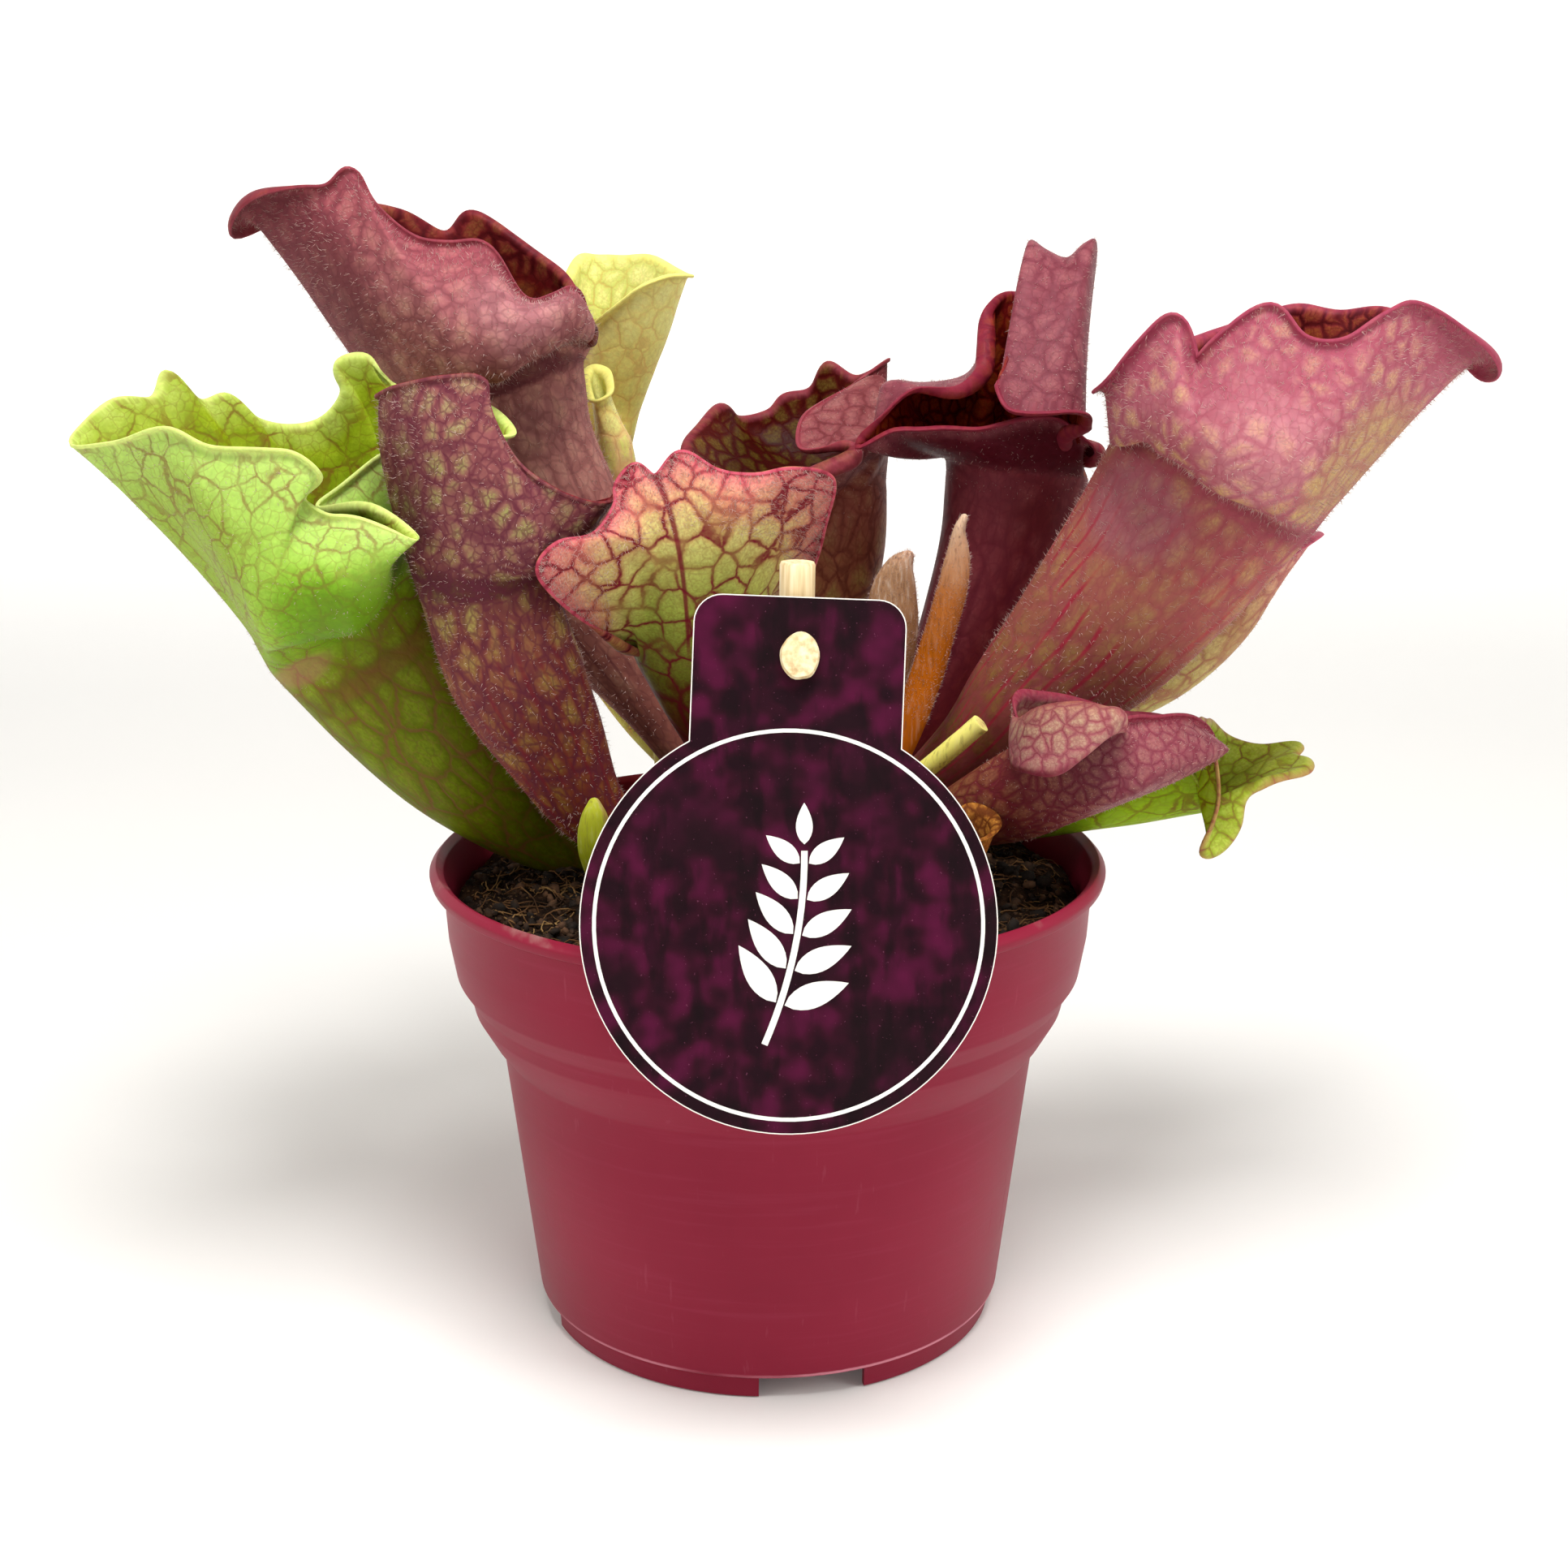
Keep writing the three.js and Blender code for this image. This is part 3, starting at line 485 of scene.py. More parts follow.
def leafRows(leaf):
    # gives rows of points, the lift of each row, and where each point lies in the net of veins
    spine = np.array(leaf["spine"], float)
    rim = leaf["rim"]
    last = len(spine) - 1
    count = len(rim) * leafBuild["perGap"]
    angles = openAngles(rim)
    steps = np.arange(count)
    gaps = steps // leafBuild["perGap"]
    parts = (steps % leafBuild["perGap"]) / leafBuild["perGap"]
    ends = np.array(angles + [angles[0] + 360])
    degrees = ends[gaps] + (ends[gaps + 1] - ends[gaps]) * parts
    turns = np.radians(degrees)

    rows = [ringAt(spine, k / leafBuild["tubeSteps"], turns)
            for k in range(last * leafBuild["tubeSteps"] + 1)]
    lifts = list(np.linspace(0, leafBuild["neckLift"], len(rows)))
    neck = rows[-1]
    centre = spine[last][:3]
    along = alongAt(spine, last)
    coarseNeck = ringAt(spine, last, np.radians(angles))
    margins = [centre + np.array(row[1:4], float) for row in rim]
    bellies = []
    for row, start, end in zip(rim, coarseNeck, margins):
        if len(row) == 7:
            bellies.append(centre + np.array(row[4:7], float))
        else:
            bellies.append(defaultBelly(row, start, end, along, leaf["bowl"]))
    margin = between(margins, angles, gaps, parts)
    belly = between(bellies, angles, gaps, parts)
    roll = leaf.get("roll", leafBuild["roll"])
    radius = tableAt(roll, degrees, 1)
    turn = np.radians(tableAt(roll, degrees, 2))
    margin = margin - unit(margin - belly) * radius[:, None] * leafBuild["rollSeat"]
    spread = belly - neck
    out = unit(spread - (spread @ along)[:, None] * along)
    lap = tableAt(leaf.get("lap", [(0, 0)]), degrees, 1)[:, None]
    crease = leaf.get("crease", leafBuild["crease"])
    headRows = leafBuild["headRows"]
    for k in range(1, headRows + 1):
        s = k / headRows
        rows.append(headRow(neck, belly, margin, s) + lapShift(s, lap, crease, out, along))
        lifts.append(leafBuild["neckLift"]
                     + (leafBuild["rimLift"] - leafBuild["neckLift"]) * k / headRows)
    rollRows = leaf.get("rollRows", leafBuild["rollRows"])
    rows += rolledRows(rows[-1], rows[-2], radius, turn, rollRows)
    lifts += list(leafBuild["rimLift"] + (1 - leafBuild["rimLift"])
                  * np.arange(1, rollRows + 1) / rollRows)

    # the net of veins runs along the tube, straightened, and through the head as it stands
    side = unit(np.cross(along, (0, -1, 0)))
    axes = np.stack([side, np.cross(side, along), along], axis=1)
    reach = 0.0
    net = []
    for k, row in enumerate(rows):
        if k and k <= last * leafBuild["tubeSteps"]:
            reach += np.linalg.norm(row.mean(axis=0) - rows[k - 1].mean(axis=0))
        if k <= last * leafBuild["tubeSteps"]:
            station = stationAt(spine, k / leafBuild["tubeSteps"])
            height = np.full(count, reach * leafBuild["stretch"])
            net.append(np.stack([np.sin(turns) * station[3], np.cos(turns) * station[4], height], axis=1))
        else:
            net.append((row - centre) @ axes + (0, 0, reach * leafBuild["stretch"]))
    foot = np.tile(rows[0].mean(axis=0), (count, 1))
    return [foot] + rows, [0.0] + lifts, [net[0]] + net


def leafMesh(rows, lifts, net, swell):
    # wraps the rows into a skin whose faces point out
    bm = wrapped([[Vector(p) * mm for p in row] for row in rows])
    count = len(rows[0])
    uv = bm.loops.layers.uv["around"]
    column = bm.verts.layers.int["column"]
    level = bm.verts.layers.int["level"]
    netPlace = bm.verts.layers.float_vector.new("netPlace")
    for v in bm.verts:
        v[netPlace] = net[v[level]][v[column] % count]
    for face in bm.faces:
        for loop in face.loops:
            loop[uv].uv.y = lifts[loop.vert[level]]
    closeUp(bm)
    faceOut(bm, Vector(rows[0][0]) * mm)
    for v in bm.verts:
        lift = lifts[v[level]]
        amount = swell * (0.35 + 0.65 * lift) * min(1, lift * leafBuild["swellStart"])
        wide = noise.noise(v.co * leafBuild["swellScale"])
        fine = noise.noise(v.co * leafBuild["fineScale"])
        v.co += v.normal * (mm * amount * wide + mm * leafBuild["fineSwell"] * amount * fine)
    bm.normal_update()
    return bm


# fine down on the leaves: one hair, copied all over

down = {
    "radius": 0.046,
    "tilt": 0.45,
    "sweep": 0.3,            # how far the hairs lean towards the margin
    "lengths": (0.5, 1.25),
    "sunk": 0.1,
    "edgeFrom": 0.85,        # the lift from which the hairs stand closer
    "edgeGain": 12,
    "seed": 11,
}


def downPaint():
    paint = Paint("leaf_down")
    shade = paint.noise(paint.objectPlace(), 900.0)
    colour = paint.blend(shade, tint("a07470"), tint("e0c8bc"))
    return paint.finish(colour, 0.6)


def masterHair():
    # the points and faces of one hair, one unit long and one thick
    bm = bmesh.new()
    bmesh.ops.create_cone(bm, cap_ends=True, segments=3, radius1=1, radius2=0, depth=1)
    bmesh.ops.translate(bm, verts=bm.verts, vec=(0, 0, 0.5))
    bmesh.ops.remove_doubles(bm, verts=bm.verts, dist=1e-6)
    return shapeOf(bm)


def growDown(name, bm, hair, slotName):
    draw = np.random.default_rng(down["seed"] + len(name))
    uv = bm.loops.layers.uv["around"]
    low, high = hair["lifts"]
    faces = [f for f in bm.faces if len(f.verts) == 4 and low < f.loops[0][uv].uv.y < high]
    past = np.array([max(0, f.loops[0][uv].uv.y - down["edgeFrom"]) for f in faces])
    weights = np.array([f.calc_area() for f in faces]) * (1 + past * down["edgeGain"])
    chosen = draw.choice(len(faces), size=hair["count"], p=weights / weights.sum())
    corners = np.array([[v.co for v in f.verts] for f in faces])[chosen]
    normals = np.array([f.normal for f in faces])[chosen]
    a, b = draw.random((2, hair["count"], 1))
    roots = ((1 - a) * (1 - b) * corners[:, 0] + a * (1 - b) * corners[:, 1]
             + a * b * corners[:, 2] + (1 - a) * b * corners[:, 3])
    upward = unit(corners[:, 2] + corners[:, 3] - corners[:, 0] - corners[:, 1] + 1e-9)
    lean = draw.normal(0, down["tilt"], (hair["count"], 3))
    aim = unit(normals + lean + upward * hair.get("sweep", down["sweep"]))
    length = mm * hair["length"] * draw.uniform(*down["lengths"], (hair["count"], 1))
    side = unit(np.cross(aim, draw.normal(0, 1, aim.shape)))
    other = np.cross(aim, side)
    points, shape = masterHair()
    thick = down["radius"] * mm
    spots = (roots[:, None] - normals[:, None] * down["sunk"] * mm
             + points[None, :, :1] * side[:, None] * thick
             + points[None, :, 1:2] * other[:, None] * thick
             + points[None, :, 2:] * (aim * length)[:, None])
    place(copies(name, spots, shape, downMaterial), slotName)


# the colours of a leaf: ground, paler spots between the veins, two sizes of veins

leafLook = {
    "soft": 1.7,             # how wide a large vein fades out
    "strong": 0.85,
    "fine": 0.4,             # strength of the small veins
    "spotAmount": 1.0,
    "patch": (0.2, 0.45),    # where the spots set in and are full, as a noise
    "marginAmount": 0.8,
    "rough": 0.5,
    "washes": [],            # angle, lift, width, height, colour and amount, under the veins
    "glazes": [],            # the same, over the veins
}
plainInside = {"washes": [], "glazes": []}


def washOver(paint, colour, turn, lift, grain, rim, washes):
    # lays soft round patches of colour on a leaf; some of them are painted shade under the folds and
    # painted highlights on the heads
    for angle, liftAt, wide, tall, code, amount in washes:
        across = (turn - turnOf(rim, angle)).folded()
        far = (across / wide) ** 2 + (abs(lift - liftAt) / tall) ** 2 + (grain - 0.5) * 0.3
        colour = paint.blend((1 - paint.step(far, 0.2, 1.0)) * amount, colour, tint(code))
    return colour


def leafPaint(name, look, rim):
    paint = Paint(name)
    turn, lift = paint.around()
    net = paint.attribute("netPlace")
    wander = paint.warped(paint.warped(net, 0.25, 1.6), 0.9, 0.7)
    coarse = paint.edges(wander, 1 / look["cell"])
    fine = paint.edges(paint.warped(net, 0.5, 0.9), 2.6 / look["cell"])
    width = look["width"]
    main = 1 - paint.step(coarse, width * 0.3, width * look["soft"])
    small = 1 - paint.step(fine, width * 0.5, width * 2.2)
    uneven = 0.5 + paint.step(paint.noise(net, 0.13, 1.0), 0.32, 0.62) * 0.6
    inland = paint.step(coarse, width * 0.8, look["islands"])
    patch = paint.step(paint.noise(net, 0.09, 2.0), *look["patch"])
    grain = paint.noise(net, 1.1, 4.0)
    speckle = paint.step(paint.noise(net, 2.2, 3.0), 0.35, 0.65)

    ground = paint.ramp(lift, stopsOf(look["ground"]))
    spots = paint.ramp(lift, stopsOf(look["spots"]))
    mottled = inland * patch * look["spotAmount"] * (0.45 + speckle * 0.55)
    colour = paint.blend(mottled, ground, spots)
    colour = washOver(paint, colour, turn, lift, grain, rim, look["washes"])
    vein = tint(look["vein"])
    colour = paint.blend(small * look["fine"] * (0.5 + grain * 0.6), colour, vein)
    colour = paint.blend(main * look["strong"] * uneven * (0.55 + grain * 0.7), colour, vein)
    colour = washOver(paint, colour, turn, lift, grain, rim, look["glazes"])
    if "lines" in look:
        count, strength, fade = look["lines"]
        wobble = paint.noise(net, 0.07, 1.0) * 1.4
        stripe = 1 - paint.step((turn * count + wobble).folded(), 0.03, 0.16)
        broken = paint.step(paint.noise(net, 0.12, 2.0), 0.38, 0.6)
        stripe = stripe * (1 - paint.step(lift, fade * 0.75, fade)) * strength * broken
        colour = paint.blend(stripe, colour, tint(look.get("line", look["vein"])))
    if "rib" in look:
        where, wide, fromLift = look["rib"]
        rib = 1 - paint.step(abs(turn - turnOf(rim, where)), wide * 0.3, wide)
        rib = rib * paint.step(lift, fromLift, fromLift + 0.06)
        colour = paint.blend(rib * 0.9, colour, vein)
    if "margin" in look:
        start, code = look["margin"]
        edge = paint.step(lift + grain * 0.03, start, start + 0.05)
        colour = paint.blend(edge * look["marginAmount"], colour, tint(code))
    shade = paint.ramp(grain, [(0.25, (0.8, 0.8, 0.8, 1)), (0.75, (1.1, 1.1, 1.1, 1))])
    colour = paint.blend(0.7, colour, shade, "MULTIPLY")
    height = inland * 0.6 - main * 0.3 - small * 0.1 + grain * 0.4
    return paint.finish(colour, look["rough"] - 0.12 + grain * 0.24, height, 0.00022, 0.4,
                        Subsurface_Weight=0.12, Subsurface_Radius=(0.0015, 0.0006, 0.0003),
                        Subsurface_Scale=1.0, Specular_IOR_Level=0.08)


def growLeaf(leaf):
    name = leaf["node"].replace("pitcher", "leaf")
    rows, lifts, net = leafRows(leaf)
    bm = leafMesh(rows, lifts, net, leaf.get("swell", leafBuild["swell"]))
    if "hair" in leaf:
        growDown(name + "_down", bm, leaf["hair"], leaf["slot"])
    look = leafLook | leaf["look"]
    outer = leafPaint(name + "_outside", look, leaf["rim"])
    inner = leafPaint(name + "_inside", look | plainInside | leaf["inside"], leaf["rim"])
    piece = keep(bm, name, [outer, inner])
    skin = piece.modifiers.new("skin", "SOLIDIFY")
    skin.thickness = leafBuild["skin"] * mm
    skin.offset = -1
    skin.material_offset = 1
    smoothOut(piece)
    settle(piece)
    place(piece, leaf["slot"], leaf["node"])
    print(name, len(piece.data.polygons), "faces")


# the leaves: spine rows are x, y, z, half width and half depth; rim rows are an angle, the margin
# from the middle of the neck, and, where they differ from the rest, the belly point or the fullness

roseRight = {
    "node": "pitcher_rose_right", "slot": "leaf_rose", "bowl": 1.0,
    "lap": [(0, 2.2), (60, 1.5), (110, 0), (270, 0.6), (320, 1.8)],
    "roll": [(48, 0.8, 120), (66, 1.8, 150), (84, 2.4, 175), (102, 2.3, 175), (124, 0.8, 120),
             (270, 1.2, 160), (300, 0.9, 130)],
    "spine": [
        (17, 27, 73, 2.8, 2.8), (20, 26, 83, 3.4, 3.4), (27, 24, 89, 5, 5), (39, 18, 100, 8.5, 8),
        (48, 13, 111, 12, 10), (60, 9, 125, 15.5, 12), (69, 6, 138, 17.5, 13), (78, 4, 152, 19.5, 14),
    ],
    "rim": [
        (270, -21, -8, 16, -19.5, -8, 7.5), (285, -20, -16, 19, -18, -17, 9),
        (298, -16, -20, 25, -15, -24, 12), (309, -12, -22, 29, -13, -28, 11.5),
        (321, -9, -24, 22, -11, -31, 10.5), (334, -5, -26, 26, -8, -33, 9.5),
        (347, 2, -27, 31, -4, -34, 8), (0, 7, -27, 26, 0, -34, 6.5), (15, 14, -26, 25, 5, -33, 5),
        (30, 21, -23, 29, 9, -31, 4.5), (45, 26, -20, 31, 14, -26, 4.5),
        (64, 35, -13, 27, 20, -18, 6), (84, 43.5, -4, 22.5, 27.5, -7, 6.5),
        (102, 44, 5, 21, 29, 3, 6.5), (122, 38, 12, 25, 0.5), (142, 32, 18, 28), (160, 25, 22, 27),
        (180, 18, 23, 28), (202, 12, 22, 26), (224, 2, 17, 23), (242, -8, 9, 20),
        (257, -16, 0, 17, -18, 0, 8),
    ],
    "look": {
        "ground": [(0.0, "543810"), (0.2, "743c24"), (0.45, "a46454"), (0.56, "9c5458"),
                   (0.7, "a8626a"), (0.85, "b06874"), (1.0, "a04c60")],
        "spots": [(0.0, "6c6818"), (0.3, "8c6c34"), (0.5, "b48c60"), (0.64, "c4a858"),
                  (0.8, "ccac74"), (1.0, "c48c80")],
        "vein": "94384c", "cell": 4.3, "width": 0.05, "soft": 3.2, "islands": 0.4, "fine": 0.3,
        "strong": 0.4, "spotAmount": 0.8, "patch": (0.3, 0.55), "lines": (22, 0.9, 0.56),
        "line": "a42c40", "margin": (0.955, "a04058"),
        # the two dark bands just over the neck are painted shade under the fold, and the pale patch at
        # the front of the head is a painted highlight
        "washes": [(340, 0.57, 0.3, 0.035, "8c444c", 0.9), (60, 0.57, 0.2, 0.035, "8c444c", 0.9),
                   (0, 0.78, 0.12, 0.12, "dc98a0", 0.35), (90, 0.74, 0.07, 0.2, "9c4c60", 0.4),
                   (60, 0.74, 0.09, 0.14, "b4a45c", 0.45), (320, 0.5, 0.16, 0.05, "a06070", 0.6)],
        "rough": 0.6,
    },
    "inside": {
        "ground": [(0.0, "440604"), (0.8, "5c0c04"), (1.0, "8c2830")],
        "spots": [(0.0, "5c2008"), (0.9, "94501c"), (1.0, "a4583c")],
        "vein": "300202", "strong": 0.8, "spotAmount": 0.7, "islands": 0.25, "rough": 0.5,
        "cell": 3.6,
    },
    "hair": {"count": 9000, "length": 1.2, "lifts": (0.3, 0.99)},
}
purpleLeft = {
    "node": "pitcher_purple_left", "slot": "leaf_purple", "bowl": 1.0,
    "lap": [(0, 3.8), (20, 3.6), (45, 3.2), (62, 2.5), (90, 0), (240, 0), (280, 0.4), (300, 1.5),
            (330, 3.5)],
    "crease": 0.9,
    "roll": [(30, 0.8, 120), (236, 0.9, 120), (252, 2.0, 150), (268, 2.8, 175), (283, 2.5, 170),
             (302, 0.8, 120)],
    "spine": [
        (-7, 38, 74, 2.6, 2.6), (-9, 38, 82, 3, 3), (-16, 38, 93, 4.2, 4.2), (-23, 38, 104, 6, 6),
        (-33, 38, 120, 10, 9.5), (-40, 38, 137, 13.5, 11.5), (-48, 38, 152, 16, 12.5),
        (-52, 38, 163, 18.5, 13),
    ],
    "rim": [
        (270, -43, -2, 33, -30, -3, 15), (281, -38, -9, 37, -24.5, -12, 15),
        (293, -30.5, -14, 37.5, -19.5, -18, 15), (304, -25, -16, 38, -14, -22, 14.5),
        (314, -21, -17, 41, -9.5, -25, 14), (325, -17.5, -18, 35, -5, -28, 13),
        (338, -10.5, -19, 29, -1.5, -29, 13), (351, -3.5, -20, 28, 2.5, -29, 13.5),
        (5, 2.5, -20, 28, 5.5, -29, 13.5), (20, 7.5, -19, 20, 9.5, -28, 15),
        (33, 10.8, -18, 18.2, 13, -26, 16), (47, 14.5, -16, 19.4, 16, -22, 17.5),
        (62, 18, -14, 20.2, 18.5, -17, 17), (80, 20, -4, 10, 20, -5, 13),
        (100, 17.5, 8, 13), (120, 12.5, 16, 21), (140, 5.5, 20, 26), (160, -1.5, 22, 31),
        (178, -6.5, 23, 33), (195, -10.5, 22, 29), (212, -17.5, 20, 33),
        (230, -24.5, 15, 34, -24.5, 20, 15), (250, -31.5, 8, 34, -27, 9, 15),
    ],
    "look": {
        "ground": [(0.0, "743c28"), (0.3, "a06458"), (0.52, "b07670"), (0.6, "b07068"),
                   (0.8, "a86468"), (1.0, "9c4452")],
        "spots": [(0.0, "8c7040"), (0.4, "b08478"), (0.62, "c8a480"), (0.8, "bc8c7c"), (1.0, "b46c70")],
        "vein": "5c2830", "cell": 5.0, "width": 0.06, "soft": 3.5, "islands": 0.5, "fine": 0.35,
        "strong": 0.38, "spotAmount": 0.75, "lines": (20, 0.5, 0.56), "margin": (0.965, "883844"),
        "marginAmount": 0.6,
        # the pale patch at the front of the head is a painted highlight, the dark patch on its left side
        # is painted shade, and the dark band just over the neck is painted shade under the fold
        "washes": [(20, 0.8, 0.13, 0.13, "cc9498", 0.3), (282, 0.82, 0.1, 0.2, "602830", 0.65),
                   (0, 0.572, 0.4, 0.025, "5c2830", 0.8)],
        "rough": 0.65,
    },
    "inside": {
        "ground": [(0.0, "400804"), (0.85, "5c0c06"), (1.0, "8c2430")],
        "spots": [(0.0, "482408"), (0.8, "683c14"), (1.0, "906034")],
        "vein": "300404", "islands": 0.3, "spotAmount": 0.6, "strong": 0.7, "rough": 0.5,
    },
    "hair": {"count": 9000, "length": 1.15, "lifts": (0.2, 0.99)},
}
greenLeft = {
    "node": "pitcher_green_left", "slot": "leaf_green", "bowl": 0.9,
    "lap": [(0, 4.0), (20, 2.5), (40, 0.8), (70, 0), (290, 0), (330, 3.5)],
    "roll": [(250, 0.7, 120), (262, 0.3, 60), (280, 0.8, 120), (352, 0.8, 120), (12, 0.7, 100),
             (26, 0.3, 60), (38, 0.6, 100), (50, 0.8, 120)],
    "spine": [
        (-24, 12, 73, 2.8, 2.8), (-28, 10, 78, 3.4, 3.4), (-35, 8, 83, 5.5, 5), (-45, 6, 91, 9, 8),
        (-55, 4, 103, 13.5, 11), (-64, 2, 116, 16, 12.5), (-73, 0, 129, 17.5, 13),
    ],
    "rim": [
        (262, -42.5, -12, 32, -24, -8, 10), (275, -33, -20, 32, -19, -16, 10),
        (292, -22, -27, 35, -15, -26, 11), (306, -15, -30, 32, -12, -30, 10),
        (320, -4, -33, 32, -10.5, -32.5, 9), (329, 0, -34, 31.5, -8.5, -34, 9),
        (337, 2.4, -33.5, 28.5, -6, -35, 9), (344, -1.2, -31, 25, -2, -35.5, 9.5),
        (352, 2, -32, 22, 2.5, -36, 9.5), (12, 9, -34, 21.5, 7.5, -35.5, 9.5),
        (26, 18.5, -35, 18.8, 12, -31, 12), (38, 10, -29, 23, 11.5, -23, 15),
        (50, 0, -21, 21, 11, -15, 17),
        (64, 4, -14, 25, 12, -9, 18), (78, 9, -6, 29, 14, -4, 18), (94, 19, 3, 30, 18, 2, 20),
        (110, 28, 9, 30, 22, 7, 20), (124, 24, 14, 34), (142, 14, 17, 36), (160, 6, 17, 38),
        (174, 2, 16.5, 43), (186, -3, 16.5, 42), (198, -2, 16, 37), (212, -8, 17, 31), (226, -17, 14, 32),
        (233, -21.5, 12, 37), (240, -26, 9, 36), (247, -30.5, 6, 41.5), (252, -32, 3, 37),
        (257, -37, -4, 37.5),
    ],
    "look": {
        "ground": [(0.0, "544c00"), (0.2, "545800"), (0.44, "606c00"), (0.52, "706c10"),
                   (0.56, "789c10"), (0.7, "94bc38"), (0.85, "9cc04c"), (1.0, "b8d074")],
        "spots": [(0.0, "5c5c00"), (0.3, "667400"), (0.5, "7c8c1c"), (0.62, "8cb828"), (1.0, "b4d468")],
        "vein": "7c4830", "cell": 5.0, "width": 0.036, "soft": 2.0, "islands": 0.3, "fine": 0.3,
        "strong": 0.6, "lines": (18, 0.25, 0.5), "margin": (0.955, "d8e884"),
        "washes": [(12, 0.7, 0.15, 0.17, "6ca008", 0.8), (285, 0.74, 0.1, 0.2, "8c9c30", 0.5)],
        # the dark olive band all round the top of the tube is painted shade under the overhanging fold
        "glazes": [(16, 0.68, 0.12, 0.16, "64881c", 0.7), (38, 0.83, 0.09, 0.14, "88ac3c", 0.75),
                   (325, 0.545, 0.12, 0.022, "a8685c", 0.5), (5, 0.5, 0.14, 0.014, "8c5030", 0.5),
                   (0, 0.5, 0.45, 0.02, "50500c", 0.35)],
    },
    "inside": {
        "ground": [(0.0, "3c4800"), (0.65, "647c04"), (0.9, "8ca014"), (1.0, "c4d860")],
        "spots": [(0.0, "4c5c00"), (0.65, "749008"), (0.9, "a0b424"), (1.0, "d0e080")],
        "vein": "74301c", "cell": 6.0, "width": 0.032, "strong": 0.6, "fine": 0.3,
    },
    "hair": {"count": 2600, "length": 0.7, "lifts": (0.5, 0.97)},
}
mottledFront = {
    "node": "pitcher_mottled_front", "slot": "leaf_mottled", "bowl": 0.5, "roll": [(0, 0.5, 110)],
    "lap": [(0, 2.2), (60, 1.4), (100, 0), (260, 0), (300, 2.0)], "crease": 0.9,
    "spine": [
        (-19, 5, 72, 2.6, 2.6), (-21, 2, 78, 3.2, 3.2), (-25, -4, 88, 4.8, 4.8),
        (-32, -10, 98, 6.8, 6.5), (-37, -14, 110, 9.4, 8), (-42, -18, 122, 11.4, 9.2),
        (-45, -20, 133, 11.2, 9.2), (-46, -21, 138, 11.3, 9),
    ],
    "rim": [
        (270, -17, 2, 30, -16, 1, 16), (290, -13, -3, 32, -11, -7, 17), (312, -5, -8, 34, -5, -12, 18),
        (335, 2, -10, 34, 2, -14, 15), (352, 3, -11, 29, 6, -14, 13), (8, 7, -11, 21, 9, -12, 10),
        (25, 14, -9, 16, 11, -8, 8), (45, 19, -4, 14, 0.3), (70, 21, 2, 14, 0.3), (90, 21, 7, 14, 0.3),
        (110, 20, 10, 12.5), (135, 12, 13, 11), (160, 6, 14, 15), (185, -1, 14, 21.5),
        (210, -6, 14, 28.5),
        (240, -13, 9, 31, -15, 8, 15),
    ],
    "look": {
        "ground": [(0.0, "64200a"), (0.2, "742c1c"), (0.45, "84483c"), (0.56, "74403a"),
                   (0.7, "885450"), (1.0, "8c4c50")],
        "spots": [(0.0, "98781c"), (0.3, "9c8038"), (0.5, "a49850"), (0.75, "a0a45c"), (1.0, "a89470")],
        "vein": "5c2434", "cell": 4.6, "width": 0.06, "soft": 2.4, "islands": 0.42, "fine": 0.7,
        "strong": 0.7, "spotAmount": 0.85, "patch": (0.34, 0.5), "lines": (16, 0.5, 0.5),
        "line": "7c1c28", "margin": (0.97, "7c4048"), "marginAmount": 0.3, "rough": 0.62,
        # the dark band just over the neck is painted shade in the crease under the fold
        "washes": [(0, 0.585, 0.3, 0.035, "4c2024", 0.75), (30, 0.72, 0.08, 0.08, "9c6a72", 0.4),
                   (290, 0.75, 0.05, 0.3, "64303c", 0.5)],
    },
    "inside": {
        "ground": [(0.0, "400808"), (1.0, "8c2028")], "spots": [(0.0, "5c2c10"), (1.0, "94503c")],
        "vein": "380408",
    },
    "hair": {"count": 5200, "length": 0.95, "lifts": (0.05, 0.99)},
}
